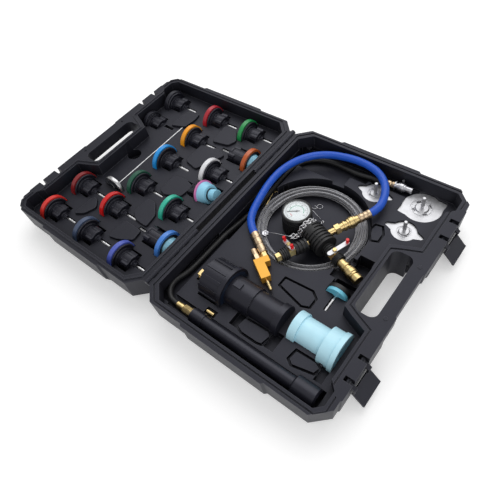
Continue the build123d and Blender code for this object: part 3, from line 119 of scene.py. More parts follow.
# %% [markdown]
# The blue filling hose leaves the coupler on the valve unit, swings round the back of the case and
# comes down to the gold tee block. It lies on top of everything else.

# %% Blue filling hose
blue_diameter = 0.016
blue_hose_route = (
    (0.0535, 0.1309, 0.0591), (0.0608, 0.1455, 0.061), (0.0605, 0.1655, 0.0625), (0.0555, 0.184, 0.0638),
    (0.0465, 0.202, 0.064), (0.0335, 0.2175, 0.064), (0.0165, 0.2295, 0.064), (-0.0035, 0.2365, 0.064),
    (-0.0245, 0.239, 0.064), (-0.0459, 0.2385, 0.0637), (-0.0678, 0.2348, 0.0631),
    (-0.0892, 0.2291, 0.0625), (-0.1092, 0.2197, 0.0618), (-0.1269, 0.2063, 0.0612),
    (-0.1414, 0.1896, 0.0607), (-0.1523, 0.1704, 0.0601), (-0.1595, 0.1494, 0.0594),
    (-0.1632, 0.1276, 0.0588), (-0.1636, 0.1055, 0.0581), (-0.1616, 0.0834, 0.0574),
    (-0.1578, 0.0616, 0.0565), (-0.1532, 0.04, 0.0556), (-0.1479, 0.0185, 0.0543),
    (-0.1394, -0.0019, 0.0526), (-0.1256, -0.0167, 0.0513), (-0.1107, -0.0264, 0.0513),
)
blue_hose = round_line("filling_hose", blue_hose_route, blue_diameter / 2)
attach(blue_hose, "base")
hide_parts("blue_hose")
blue_length = line_length(blue_hose)
print("blue hose length:", round(blue_length, 3))

# %% [markdown]
# The black hose starts at the pump's brass end, runs along the hinge side at the bottom of its
# channel, and comes out by the radiator caps, where a steel quick coupler is crimped to it.

# %% Black pump hose
pump_diameter = 0.011
pump_hose_route = (
    (-0.136, -0.228, 0.042), (-0.1504, -0.228, 0.042), (-0.1634, -0.2218, 0.0415),
    (-0.1728, -0.2108, 0.0409), (-0.1771, -0.1971, 0.04), (-0.1763, -0.1827, 0.039),
    (-0.1719, -0.1689, 0.0382), (-0.1698, -0.1547, 0.0376), (-0.1692, -0.1403, 0.0371),
    (-0.1691, -0.1259, 0.0367), (-0.169, -0.1115, 0.0364), (-0.169, -0.097, 0.0362),
    (-0.169, -0.0826, 0.0359), (-0.169, -0.0682, 0.0355), (-0.169, -0.0538, 0.0349),
    (-0.169, -0.0394, 0.0325), (-0.169, -0.025, 0.029), (-0.169, -0.0106, 0.0261), (-0.169, 0.0039, 0.0234),
    (-0.169, 0.0183, 0.0216), (-0.169, 0.0327, 0.0205), (-0.169, 0.0471, 0.02), (-0.169, 0.0615, 0.0199),
    (-0.169, 0.0759, 0.0198), (-0.169, 0.0904, 0.0198), (-0.1689, 0.1048, 0.0201),
    (-0.1687, 0.1192, 0.0205), (-0.1683, 0.1336, 0.0221), (-0.1673, 0.148, 0.0247),
    (-0.1652, 0.1622, 0.0282), (-0.1616, 0.1762, 0.0321), (-0.1558, 0.1894, 0.036),
    (-0.1478, 0.2014, 0.0378), (-0.1378, 0.2117, 0.0384), (-0.1258, 0.2197, 0.0386),
    (-0.1125, 0.2253, 0.0386), (-0.0985, 0.2289, 0.0386), (-0.0842, 0.2303, 0.0386),
    (-0.0698, 0.2302, 0.0386), (-0.0554, 0.229, 0.0389), (-0.0411, 0.2275, 0.0393),
    (-0.0267, 0.2264, 0.0405), (-0.0123, 0.2261, 0.0423), (0.0021, 0.2267, 0.0448), (0.0165, 0.228, 0.0465),
    (0.028, 0.229, 0.0465),
)
pump_hose = round_line("pump_line", pump_hose_route, pump_diameter / 2)
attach(pump_hose, "base")
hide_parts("pump_hose")
pump_length = line_length(pump_hose)
print("pump hose length:", round(pump_length, 3))

# %% [markdown]
# The clear tube is one long coil in the round well under the valve unit. It spirals outwards along
# the floor, climbs once, and spirals inwards on top. Each half turn is a half circle between two
# distances from the middle, so the whole coil is a short list of distances. The upper turns lie a few
# millimetres to one side, as a loose coil's do.

# %% Clear tube in a coil
clear_diameter = 0.008
tail_length = 0.008
well_centre = Vector((-0.0386, 0.0651, 0.0))
coil_rings = (0.092, 0.0965, 0.101, 0.1055, 0.11, 0.112, 0.104, 0.103, 0.095, 0.094)
coil_heights = (0.0183, 0.027)
turnover = 4
points_per_half = 9
upper_shift = Vector((0.0035, -0.0025, 0.0))


def coil_points():
    """Half circles from one distance to the next, with a short straight tail at both ends."""
    side = 1
    first = well_centre + Vector((coil_rings[0], 0, coil_heights[0]))
    points = [first - Vector((0, tail_length, 0))]
    for k in range(len(coil_rings) - 1):
        low = coil_heights[0] if k <= turnover else coil_heights[1]
        high = coil_heights[1] if k >= turnover else coil_heights[0]
        start = well_centre + Vector((side * coil_rings[k], 0, low)) + upper_shift * (k > turnover)
        end = well_centre + Vector((-side * coil_rings[k + 1], 0, high)) + upper_shift * (k >= turnover)
        middle = (start + end) / 2
        reach = (end - start).length / 2
        for step in range(points_per_half):
            angle = math.pi * step / points_per_half
            arm = (start - middle) * math.cos(angle)
            points.append(middle + arm + Vector((0, side * reach * math.sin(angle), 0)))
        side = -side
    points.append(end)
    points.append(end + Vector((0, side * tail_length, 0)))
    return [tuple(point) for point in points]


clear_route = coil_points()
clear_tube = round_line("clear_tube_coil", clear_route, clear_diameter / 2, around=6)
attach(clear_tube, "base")
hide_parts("clear_tube")
clear_length = line_length(clear_tube)
print("clear tube length:", round(clear_length, 3))

# %% [markdown]
# Every finish is a small network of nodes. Noise varies the colour and the shine a little, a fine
# noise becomes a bump, and a bevel node rounds the look of hard edges, which catch the light on a
# real moulding. A few small helpers come first, one for each kind of node that is used again.

# %% Small steps of a shader
def stretch(tree, value, out_low, out_high, in_low=0.0, in_high=1.0):
    """Takes a value between two limits to the same share between two others."""
    step = tree.nodes.new("ShaderNodeMapRange")
    step.inputs["From Min"].default_value = in_low
    step.inputs["From Max"].default_value = in_high
    step.inputs["To Min"].default_value = out_low
    step.inputs["To Max"].default_value = out_high
    tree.links.new(value, step.inputs["Value"])
    return step.outputs["Result"]


def noise(tree, size, detail):
    """Clouds of one size, fixed to the object."""
    places = tree.nodes.new("ShaderNodeTexCoord")
    cloud = tree.nodes.new("ShaderNodeTexNoise")
    cloud.inputs["Scale"].default_value = 1 / size
    cloud.inputs["Detail"].default_value = detail
    tree.links.new(places.outputs["Object"], cloud.inputs["Vector"])
    return cloud.outputs["Fac"]


def ramp(tree, value, low_at, low_colour, high_at, high_colour):
    """A colour between two, by a value."""
    tones = tree.nodes.new("ShaderNodeValToRGB")
    low, high = tones.color_ramp.elements
    low.position, high.position = low_at, high_at
    low.color, high.color = low_colour, high_colour
    tree.links.new(value, tones.inputs["Fac"])
    return tones.outputs["Color"]


def blend(tree, share):
    """A colour mix by a share. A is seen where the share is none and B where it is full."""
    mixed = tree.nodes.new("ShaderNodeMix")
    mixed.data_type = "RGBA"
    tree.links.new(share, mixed.inputs["Factor"])
    return mixed


# %% [markdown]
# Shade falls dark into the moulding's corners, seats and grooves, and its edges catch a thin
# highlight. Both are painted into the colour here: painted shade and a painted highlight. Both could
# be painted by hand. Here the shader finds them: ambient occlusion says how closed in a place is, and
# where the rounded normal leaves the flat one an edge is near.

# %% Painted shade in corners and painted highlights on edges
corner_rays = 8
closed_in, wide_open = 0.35, 0.95
darkest_share = 0.25
# Painted shade: closed-in corners turn towards this near black.
painted_shade_black = (0.002, 0.002, 0.003, 1)
edge_match = 0.88
# Painted highlight: edges turn towards this lighter grey.
painted_highlight_grey = (0.155, 0.157, 0.18, 1)


def painted_corner_shade(tree, painted, reach):
    """Painted shade: darker where the surface is closed in, within a reach."""
    closed = tree.nodes.new("ShaderNodeAmbientOcclusion")
    closed.samples = corner_rays
    closed.inputs["Distance"].default_value = reach
    darker = blend(tree, stretch(tree, closed.outputs["AO"], darkest_share, 1.0, closed_in, wide_open))
    darker.inputs["A"].default_value = painted_shade_black
    tree.links.new(painted, darker.inputs["B"])
    return darker.outputs["Result"]


def painted_edge_highlight(tree, painted, rounded, amount):
    """Painted highlight: lighter where the rounded normal differs from the flat one."""
    flat = tree.nodes.new("ShaderNodeNewGeometry")
    match = tree.nodes.new("ShaderNodeVectorMath")
    match.operation = "DOT_PRODUCT"
    tree.links.new(flat.outputs["Normal"], match.inputs[0])
    tree.links.new(rounded, match.inputs[1])
    lighter = blend(tree, stretch(tree, match.outputs["Value"], 0.0, amount, 1.0, edge_match))
    lighter.inputs["B"].default_value = painted_highlight_grey
    tree.links.new(painted, lighter.inputs["A"])
    return lighter.outputs["Result"]


# The lighter edges counted here are a painted highlight.
print("rubbed edges show where the normals match less than", edge_match)

# %% [markdown]
# One helper then builds the whole network from a handful of plain numbers, so that all finishes
# behave alike and each one below is a line or two.

# %% A helper for finishes
cloud_detail = 4
grain_detail = 2
cloud_low, cloud_high = 0.3, 0.7
shine_spread = 0.07
smoothest = 0.02
grain_height = 0.0003
edge_rays = 4


def finish(name, colour, shine=0.5, metal=0.0, blotch=0.1, blotch_size=0.03, grain=0.0, grain_size=0.0006,
           edge=0.0004, coat=0.0, edge_highlight=0.0, gloss=0.5, shade_reach=0.0, tint=(1.0, 1.0, 1.0)):
    """A material with clouds in its colour and shine, a grain, soft edges, a painted edge highlight and
    painted shade in corners.
    """
    made = bpy.data.materials.new(name)
    made.use_nodes = True
    tree = made.node_tree
    surface = tree.nodes["Principled BSDF"]
    surface.inputs["Metallic"].default_value = metal
    surface.inputs["Coat Weight"].default_value = coat
    surface.inputs["Specular IOR Level"].default_value = gloss
    surface.inputs["Specular Tint"].default_value = (*tint, 1)
    cloud = noise(tree, blotch_size, cloud_detail)
    dim = (*[c * (1 - blotch) for c in colour], 1)
    bright = (*[min(1, c * (1 + blotch)) for c in colour], 1)
    painted = ramp(tree, cloud, cloud_low, dim, cloud_high, bright)
    rough = stretch(tree, cloud, max(smoothest, shine - shine_spread), min(1.0, shine + shine_spread))
    tree.links.new(rough, surface.inputs["Roughness"])
    rounded = tree.nodes.new("ShaderNodeBevel")
    rounded.samples = edge_rays
    rounded.inputs["Radius"].default_value = edge
    last = rounded.outputs["Normal"]
    # Painted shade in closed-in corners and a painted highlight along edges.
    if shade_reach:
        painted = painted_corner_shade(tree, painted, shade_reach)
    if edge_highlight:
        painted = painted_edge_highlight(tree, painted, last, edge_highlight)
    tree.links.new(painted, surface.inputs["Base Color"])
    if grain:
        bump = tree.nodes.new("ShaderNodeBump")
        bump.inputs["Strength"].default_value = grain
        bump.inputs["Distance"].default_value = grain_height
        tree.links.new(noise(tree, grain_size, grain_detail), bump.inputs["Height"])
        tree.links.new(last, bump.inputs["Normal"])
        last = bump.outputs["Normal"]
    tree.links.new(last, surface.inputs["Normal"])
    print("finish", name)
    return made


# %% A helper that dresses CAD pieces
def dress(material, *names):
    """Gives CAD pieces a material in place of their own."""
    for name in names:
        piece = nodes[name]
        piece.data.materials.clear()
        piece.data.materials.append(material)
    print(material.name, "on", ", ".join(names))


# %% [markdown]
# The case is blow-moulded polyethylene, nearly black: a dull sheen, and a fine pebble grain that the
# mould leaves. Its edges carry a painted highlight, a little lighter, and its corners painted shade.
# The black mouldings in it are smoother. They and the rubbers carry a fainter painted edge highlight.
# Both plastics shine a little cool, as black plastic does under daylight lamps.

# %% Plastics and rubbers
cool_shine = (0.86, 0.87, 1.0)
# The case gets painted shade in its corners and a painted edge highlight; the black mouldings and rubbers a
# fainter painted edge highlight.
case_plastic = finish("moulded_case", (0.0135, 0.0138, 0.0195), shine=0.46, grain=0.4, grain_size=0.0011,
                      edge=0.0011, edge_highlight=0.55, gloss=0.36, shade_reach=0.03, tint=cool_shine)
black_plastic = finish("black_moulding", (0.009, 0.009, 0.014), shine=0.36, grain=0.15, edge=0.0006,
                       edge_highlight=0.3, gloss=0.5, tint=cool_shine)
black_rubber = finish("black_rubber", (0.01, 0.01, 0.011), shine=0.48, grain=0.25, edge=0.0006, edge_highlight=0.1)
dark_blue_rubber = finish("dark_blue_rubber", (0.008, 0.014, 0.03), shine=0.3, grain=0.1)
dress(case_plastic, "base_shell", "lid_shell", "latch_front", "latch_back")
dress(black_plastic, "neck_cap", "neck_tube", "pump_barrel", "pump_handle", "gauge_pointer")
dress(black_rubber, "venturi_sleeve", "valve_boots", "gauge_boot", "nose_seals", "small_seal")
dress(dark_blue_rubber, "neck_seal")
pump_hose.data.materials.append(black_rubber)

# %% [markdown]
# The coloured bands tell the adapters apart. They are glossy injection mouldings, so each gets its
# own colour, a soft shine and no grain. Several bands share one CAD node, so each face takes the
# colour of the band whose middle is nearest to it.

# %% Coloured bands, a colour for each place
def paint_by_place(name, colours):
    """Gives each face of a node the colour whose place is nearest."""
    piece = nodes[name]
    piece.data.materials.clear()
    middles = []
    for label, place, colour in colours:
        piece.data.materials.append(finish(label, colour, shine=0.3, blotch=0.05, edge=0.0008, coat=0.15))
        middles.append(Vector(place))
    for face in piece.data.polygons:
        here = face.center.to_2d()
        face.material_index = min(range(len(middles)), key=lambda k: (middles[k] - here).length)


paint_by_place("bands_red", (
    ("crimson_band", (-0.424, 0.21), (0.4, 0.012, 0.025)),
    ("dark_red_band", (-0.538, -0.122), (0.22, 0.012, 0.014)),
    ("red_band", (-0.43, -0.129), (0.6, 0.006, 0.006)),
    ("light_red_band", (-0.541, -0.2095), (0.66, 0.03, 0.022)),
))
paint_by_place("bands_green", (
    ("leaf_green_band", (-0.316, 0.211), (0.012, 0.26, 0.065)),
    ("dark_green_band", (-0.426, -0.05), (0.01, 0.085, 0.05)),
    ("teal_band", (-0.31, -0.0656), (0.035, 0.47, 0.33)),
))
paint_by_place("bands_blue", (
    ("bright_blue_band", (-0.429, 0.0394), (0.012, 0.28, 0.72)),
    ("slate_band", (-0.426, -0.2095), (0.06, 0.085, 0.15)),
    ("violet_blue_band", (-0.313, -0.2116), (0.075, 0.11, 0.47)),
    ("blue_band", (-0.248, -0.14), (0.06, 0.22, 0.66)),
))
paint_by_place("bands_amber", (
    ("amber_band", (-0.424, 0.128), (0.9, 0.34, 0.01)),
    ("rust_band", (-0.248, 0.136), (0.5, 0.1, 0.018)),
))

# %% Other coloured plastics
plain_colours = {
    "band_white": (0.8, 0.8, 0.83),
    "band_pink": (0.72, 0.2, 0.47),
    "adapter_noses": (0.3, 0.66, 0.86),
    "small_disc": (0.16, 0.55, 0.72),
    "blue_adapter": (0.52, 0.84, 0.97),
    "lever_tip_right": (0.75, 0.008, 0.012),
    "lever_tips_left": (0.75, 0.008, 0.012),
    "thermometer_tip": (0.72, 0.012, 0.012),
}
for name, colour in plain_colours.items():
    dress(finish(name + "_gloss", colour, shine=0.34, blotch=0.04, edge=0.0009, coat=0.1), name)

# %% [markdown]
# Metals take all their colour from what they mirror, so their base colour is bright and only the
# roughness changes: pressed caps are satin, turned brass is warmer and shows fine tool marks.

# %% Metals
brass = finish("turned_brass", (0.7, 0.53, 0.25), shine=0.3, metal=1.0, blotch=0.2, blotch_size=0.006,
               edge=0.0006, grain=0.08)
pale_brass = finish("brass_ferrule", (0.66, 0.5, 0.33), shine=0.33, metal=1.0, blotch=0.2,
                    blotch_size=0.006, edge=0.0006)
steel = finish("steel", (0.55, 0.55, 0.56), shine=0.3, metal=1.0, blotch=0.2, blotch_size=0.006,
               edge=0.0005)
bright_steel = finish("plated_steel", (0.62, 0.62, 0.65), shine=0.3, metal=1.0, blotch=0.08,
                      blotch_size=0.008, edge=0.0006, grain=0.05)
pressed_cap = finish("pressed_cap", (0.57, 0.57, 0.59), shine=0.4, metal=0.8, blotch=0.1,
                     blotch_size=0.012, edge=0.0008, grain=0.06)
gold = finish("gold_anodised", (0.72, 0.37, 0.05), shine=0.36, metal=0.5, blotch=0.08, edge=0.001)
dress(brass, "valve_bodies", "coupler_bodies", "tee_fittings", "brass_fittings", "brass_hook")
dress(pale_brass, "tee_plug")
dress(steel, "hinge_pins", "latch_pins", "adapter_stems", "thermometer_dial", "thermometer_probe",
      "pump_rod", "small_stem", "steel_bit")
dress(bright_steel, "steel_coupler", "tube_clamp")
dress(pressed_cap, "cap_plates", "cap_nipples", "lever_right", "lever_left")
dress(gold, "tee_block")
print("metals:", ", ".join(m.name for m in (brass, pale_brass, steel, bright_steel, pressed_cap, gold)))

# %% [markdown]

# %% [markdown]
# The blue hose is soft plastic with a gloss. The clear tube lets light through its middle and turns
# bright and solid towards its rims, because there the eye looks along the wall. Layer Weight gives
# that change from middle to rim. The brightness is painted: a light grey at the rims is a painted
# reflection, and a dark grey in the middle painted shade.

# %% Blue hose and clear tube finishes
hose_blue = finish("blue_hose_plastic", (0.01, 0.085, 0.52), shine=0.34, blotch=0.05, edge=0.0, gloss=0.4)
blue_hose.data.materials.append(hose_blue)
middle_alpha, rim_alpha = 0.6, 0.95
# Painted shade in the tube's middle and a painted reflection at its rims.
middle_at, middle_painted_shade = 0.15, (0.1, 0.1, 0.11, 1)
rim_at, rim_painted_reflection = 0.6, (0.72, 0.72, 0.76, 1)
clear = bpy.data.materials.new("clear_tube_plastic")
clear.use_nodes = True
tree = clear.node_tree
body = tree.nodes["Principled BSDF"]
body.inputs["Roughness"].default_value = 0.1
body.inputs["Coat Weight"].default_value = 0.6
facing = tree.nodes.new("ShaderNodeLayerWeight")
facing.inputs["Blend"].default_value = 0.5
slant = facing.outputs["Facing"]
tree.links.new(stretch(tree, slant, middle_alpha, rim_alpha), body.inputs["Alpha"])
tree.links.new(ramp(tree, slant, middle_at, middle_painted_shade, rim_at, rim_painted_reflection), body.inputs["Base Color"])
clear_tube.data.materials.append(clear)
print("clear tube alpha from", middle_alpha, "to", rim_alpha)

# %% [markdown]
# The fine pieces below are meshes. Most are rings of points, one behind the other, with a skin of
# faces between them, so one helper makes the skin and another turns the mesh into a piece that rides
# on its body, has its slot, and keeps its sharp corners sharp.

# %% From rings of points to a piece
weld = 0.00003


def skin(mesh, rings, ends=True):
    """Faces from each ring of points to the next, and one across each end."""
    for one, two in zip(rings, rings[1:]):
        for k in range(len(one)):
            n = (k + 1) % len(one)
            mesh.faces.new((one[k], one[n], two[n], two[k]))
    if ends:
        mesh.faces.new(list(reversed(rings[0])))
        mesh.faces.new(rings[-1])


def piece_from(mesh, name, material, body="base", corner=None):
    """Turns a finished mesh into a piece that rides on a body. Corners above an angle stay sharp."""
    bmesh.ops.recalc_face_normals(mesh, faces=mesh.faces)
    data = bpy.data.meshes.new(name)
    mesh.to_mesh(data)
    mesh.free()
    if corner is not None:
        data.shade_smooth()
        data.set_sharp_from_angle(angle=math.radians(corner))
    data.materials.append(material)
    piece = bpy.data.objects.new(name, data)
    scene.collection.objects.link(piece)
    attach(piece, body)
    print(name, "faces:", len(data.polygons))
    return piece


# %% [markdown]
# Turned pieces, such as collars, ferrules and rings, come off a lathe, so a helper spins a profile
# about a line. Each step of the profile is a distance along the line and a radius. A knurl is a
# pattern of small ridges: between two distances the radius rises and falls round the ring, and each
# ring is turned a little further, which gives the crossed look of a knurled grip.

# %% A lathe for fine round pieces
axis_radius = 1e-5


def lathe(name, start, heading, profile, material, body="base", around=48, grip=None, corner=35):
    """Spins a profile of (distance, radius) steps. grip = (low, high, depth) of a knurl."""
    way = Vector(heading).normalized()
    side = way.orthogonal().normalized()
    other = way.cross(side)
    mesh = bmesh.new()
    rings = []
    for row, (at, radius) in enumerate(profile):
        ring = []
        for k in range(around):
            angle = 2 * math.pi * k / around
            out = max(radius, axis_radius)
            if grip and grip[0] < at < grip[1]:
                out -= grip[2] * ((k + row) % 2)
            arm = side * (out * math.cos(angle)) + other * (out * math.sin(angle))
            ring.append(mesh.verts.new(Vector(start) + way * at + arm))
        rings.append(ring)
    skin(mesh, rings, ends=False)
    bmesh.ops.remove_doubles(mesh, verts=mesh.verts, dist=weld)
    return piece_from(mesh, name, material, body, corner)


# %% [markdown]
# The sliding collars of the three quick couplers are knurled so that wet fingers can pull them
# back. Each one rides on its own CAD body, because it slides.

# %% Where the couplers stand
def level_way(degrees):
    """A level direction, by its angle from the x axis."""
    return Vector((math.cos(math.radians(degrees)), math.sin(math.radians(degrees)), 0))


def level_side(way):
    """The level direction to the left of another."""
    return Vector((-way.y, way.x, 0))


filler_centre = Vector((-0.0028, 0.03481, 0.045))
filler_way = level_way(-20)
filler_side = level_side(filler_way)
hose_way = Vector((0.503, 0.858, 0.126)).normalized()
hose_coupler_reach = 0.0463
valve_coupler_reach = 0.0683
hose_coupler = filler_centre + hose_way * hose_coupler_reach
valve_coupler = filler_centre + filler_way * valve_coupler_reach
steel_start = Vector((0.028, 0.229, 0.0465))
steel_way = level_way(5)
for place in (hose_coupler, valve_coupler, steel_start):
    print("coupler at", [round(c, 3) for c in place])

# %% Knurled collars
belt_share = 0.25
collar_edge = 0.0006
collar_step = 0.0015
knurl_depth = 0.0005
knurl_rings = 10
knurl_ridges = 72


def collar(name, body, start, heading, length, outer, inner, material):
    """A sliding collar with a knurled belt between two smooth shoulders."""
    belt = length * belt_share
    low, high = belt + collar_edge, length - belt - collar_edge
    shoulder = outer - collar_step
    mouth = shoulder - collar_edge
    belt_lip = outer - collar_edge
    profile = [(0, inner), (0, mouth), (collar_edge, shoulder)]
    profile += [(belt - collar_edge, shoulder), (belt, belt_lip)]
    profile += [(low + (high - low) * k / (knurl_rings - 1), outer) for k in range(knurl_rings)]
    profile += [(length - belt, belt_lip), (length - belt + collar_edge, shoulder)]
    profile += [(length - collar_edge, shoulder), (length, mouth), (length, inner), (0, inner)]
    grip = (belt, length - belt, knurl_depth)
    piece = lathe(name, start, heading, profile, material, body, around=knurl_ridges, grip=grip)
    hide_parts(body)


brass_collar = {"length": 0.018, "outer": 0.012, "inner": 0.0086, "material": brass}
steel_collar = {"length": 0.016, "outer": 0.01, "inner": 0.0066, "material": bright_steel}
hose_collar_at = 0.016
valve_collar_at = 0.02
steel_collar_at = 0.0323
hose_collar_start = hose_coupler + hose_way * hose_collar_at
valve_collar_start = valve_coupler + filler_way * valve_collar_at
steel_collar_start = steel_start + steel_way * steel_collar_at
collar("hose_collar", "collar_hose", hose_collar_start, hose_way, **brass_collar)
collar("valve_collar", "collar_valve", valve_collar_start, filler_way, **brass_collar)
collar("steel_collar", "collar_steel", steel_collar_start, steel_way, **steel_collar)

# %% [markdown]
# Ferrules are short tubes that a press squeezes on to the hose. The jaws leave three waists, so
# the profile is a wave, and the mouth rolls over at both ends.

# %% Crimped ferrules
crimp_depth = 0.0009
crimp_waves = 6
crimp_steps = 36
mouth_roll = 0.0006
mouth_drop = 0.0008
thick_ferrule = 0.009
thin_ferrule = 0.007
short_ferrule = 0.026
filler_ferrule_reach = 0.0863


def ferrule(name, start, heading, length, radius):
    """A tube with pressed waists and rolled mouths."""
    profile = [(0, 0), (0, radius - mouth_drop), (mouth_roll, radius)]
    for k in range(1, crimp_steps):
        waist = crimp_depth * max(0.0, math.sin(crimp_waves * math.pi * k / crimp_steps)) ** 2
        profile.append((mouth_roll + (length - 2 * mouth_roll) * k / crimp_steps, radius - waist))
    profile += [(length - mouth_roll, radius), (length, radius - mouth_drop), (length, 0)]
    piece = lathe(name, start, heading, profile, pale_brass)
    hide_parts("hose_ferrules")


filler_ferrule_start = filler_centre + hose_way * filler_ferrule_reach
ferrule("hose_ferrule_filler", filler_ferrule_start, hose_way, short_ferrule, thick_ferrule)

# %% The ferrules at the tee and at the steel coupler
tee_way = level_way(-33)
tee_corner = Vector((-0.07048, -0.082005, 0.0423))
tee_hose_height = 0.009
tee_depth = 0.0295
tee_hose_share = 0.84
tee_hose_gap = 0.0123
long_ferrule = 0.0517
tee_hose = tee_corner + Vector((0, 0, tee_hose_height)) + level_side(tee_way) * (tee_depth * tee_hose_share)
ferrule("hose_ferrule_tee", tee_hose - tee_way * tee_hose_gap, -tee_way, long_ferrule, thick_ferrule)
ferrule("hose_ferrule_steel", steel_start, steel_way, short_ferrule, thin_ferrule)

# %% [markdown]
# The gauge has a white face behind a thin window: a circle of ticks, a green arc for a good vacuum, a
# red mark near zero and plain numbers. Each is a flat mesh or text that lies a hair above the case's
# own face, since two faces in one place would flicker.

# %% Gauge face
dial_white = finish("dial_white", (0.8, 0.86, 0.88), shine=0.45, blotch=0.02, edge=0.0)
ink = finish("dial_ink", (0.03, 0.03, 0.035), shine=0.5, blotch=0.02, edge=0.0)
green_ink = finish("green_ink", (0.05, 0.42, 0.26), shine=0.5, blotch=0.02, edge=0.0)
red_ink = finish("red_ink", (0.7, 0.03, 0.05), shine=0.5, blotch=0.02, edge=0.0)
dress(dial_white, "gauge_case")
gauge_reach = 0.0698
gauge_centre = filler_centre - filler_way * gauge_reach
dial_height = 0.06112
dial_up = math.radians(130)
dial_start = dial_up + math.radians(135)
dial_sweep = math.radians(-270)


def dial_point(share, radius):
    """A point on the face, by its share of the scale and its distance from the middle."""
    angle = dial_start + dial_sweep * share
    flat = Vector((radius * math.cos(angle), radius * math.sin(angle)))
    return Vector((gauge_centre.x + flat.x, gauge_centre.y + flat.y, dial_height))


def strip(mesh, low, high, inner, outer, pieces=1):
    """A flat band between two shares of the sweep and two distances from the middle."""
    pairs = []
    for k in range(pieces + 1):
        share = low + (high - low) * k / pieces
        pairs.append((mesh.verts.new(dial_point(share, inner)), mesh.verts.new(dial_point(share, outer))))
    for (a, b), (c, d) in zip(pairs, pairs[1:]):
        mesh.faces.new((a, c, d, b))


# %% Arcs and ticks
arc_inner, arc_outer = 0.0135, 0.0148
arcs = (("green_arc", green_ink, 0.2, 0.95, 40), ("red_arc", red_ink, 0.0, 0.1, 8))
for name, material, low, high, pieces in arcs:
    arc = bmesh.new()
    strip(arc, low, high, arc_inner, arc_outer, pieces)
    piece_from(arc, name, material)
tick_count = 50
long_every = 5
tick_circle, tick_line = 0.0222, 0.0003
long_tick, short_tick = (0.0022, 0.0032), (0.0011, 0.0018)
scale_marks = bmesh.new()
strip(scale_marks, 0.0, 1.0, tick_circle, tick_circle + tick_line, pieces=80)
for k in range(tick_count + 1):
    half, reach = short_tick if k % long_every else long_tick
    strip(scale_marks, k / tick_count - half, k / tick_count + half, tick_circle - reach, tick_circle)
piece_from(scale_marks, "scale_marks", ink)

# %% Numbers on the gauge
number_height = 0.0042
number_circle = 0.0172
numbers = ("0", "5", "10", "15", "20", "25", "30")


def dial_number(text, share):
    """One plain number, upright for someone who reads the gauge."""
    data = bpy.data.curves.new("number_" + text, "FONT")
    data.body = text
    data.size = number_height
    data.align_x = "CENTER"
    data.align_y = "CENTER"
    data.materials.append(ink)
    piece = bpy.data.objects.new("number_" + text, data)
    piece.location = dial_point(share, number_circle)
    piece.rotation_euler = (0, 0, dial_up - math.radians(90))
    scene.collection.objects.link(piece)
    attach(piece, "base")


for k, text in enumerate(numbers):
    dial_number(text, k / (len(numbers) - 1))
print("numbers on the gauge:", len(numbers))

# %% Window of the gauge
window = bpy.data.materials.new("window")
window.use_nodes = True
pane = window.node_tree.nodes["Principled BSDF"]
pane.inputs["Base Color"].default_value = (1, 1, 1, 1)
pane.inputs["Roughness"].default_value = 0.05
pane.inputs["Alpha"].default_value = 0.1
dress(window, "gauge_lens")
print("window alpha:", round(pane.inputs["Alpha"].default_value, 2))

# %% [markdown]
# The retaining chain is made of bent wire: each link is an oval ring, a circle stretched in one
# direction and swept with a small circle. Neighbours are tilted opposite ways, as in a curb chain,
# so that each one passes through the next. Two rows are wrapped over the rubber collar.

# %% One chain link
link_long = 0.0042
link_short = 0.0028
link_wire = 0.0007
link_points, wire_points = 22, 6
link_tilt = math.radians(40)
chain_steel = finish("chain_steel", (0.85, 0.85, 0.87), shine=0.22, metal=1.0, blotch=0.05, blotch_size=0.004,
                     edge=0.0)


def oval_link(mesh, centre, way, normal, number):
    """A ring of wire, long in one direction. Odd and even links are tilted opposite ways."""
    tilt = link_tilt if number % 2 else -link_tilt
    way = way.normalized()
    flat = way.cross(normal).normalized()
    tilted = flat * math.cos(tilt) + way.cross(flat) * math.sin(tilt)
    third = way.cross(tilted).normalized()
    rings = []
    for k in range(link_points):
        angle = 2 * math.pi * k / link_points
        middle = centre + way * (link_long * math.cos(angle)) + tilted * (link_short * math.sin(angle))
        out = (way * (link_short * math.cos(angle)) + tilted * (link_long * math.sin(angle))).normalized()
        ring = []
        for j in range(wire_points):
            turn = 2 * math.pi * j / wire_points
            ring.append(mesh.verts.new(middle + (out * math.cos(turn) + third * math.sin(turn)) * link_wire))
        rings.append(ring)
    skin(mesh, rings + rings[:1], ends=False)


# %% Two rows of links over the collar
chain_radius = 0.0207
link_pitch = 0.006
chain_rows = (-0.0272, -0.0333)
row_reach = math.radians(100)
near_links = 3
near_way = Vector((-0.66, -0.75, -0.04)).normalized()
far_run = (
    (-0.0235, 0.0655, 0.0395), (-0.0222, 0.0712, 0.0378), (-0.0218, 0.0768, 0.0352),
    (-0.0225, 0.082, 0.0318), (-0.0245, 0.0866, 0.0278), (-0.0275, 0.0904, 0.0236),
)
upward = Vector((0, 0, 1))
chain_mesh = bmesh.new()
link_count = 0
for s in chain_rows:
    turns = round(2 * row_reach * chain_radius / link_pitch)
    ends = []
    for k in range(turns + 1):
        angle = row_reach * (2 * k / turns - 1)
        out = upward * math.cos(angle) + filler_side * math.sin(angle)
        round_way = filler_side * math.cos(angle) - upward * math.sin(angle)
        ends.append(filler_centre + filler_way * s + out * chain_radius)
        oval_link(chain_mesh, ends[-1], round_way, out, k)
    for k in range(1, near_links + 1):
        oval_link(chain_mesh, ends[0] + near_way * (k * link_pitch), near_way, upward, k)
    link_count += len(ends) + near_links
for k, pair in enumerate(zip(far_run, far_run[1:])):
    one, two = Vector(pair[0]), Vector(pair[1])
    oval_link(chain_mesh, (one + two) / 2, two - one, Vector((1, 0, 0)), k)
    link_count += 1
retaining_chain = piece_from(chain_mesh, "retaining_chain", chain_steel)
for face in retaining_chain.data.polygons:
    face.use_smooth = True
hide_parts("chain")
print("links:", link_count)

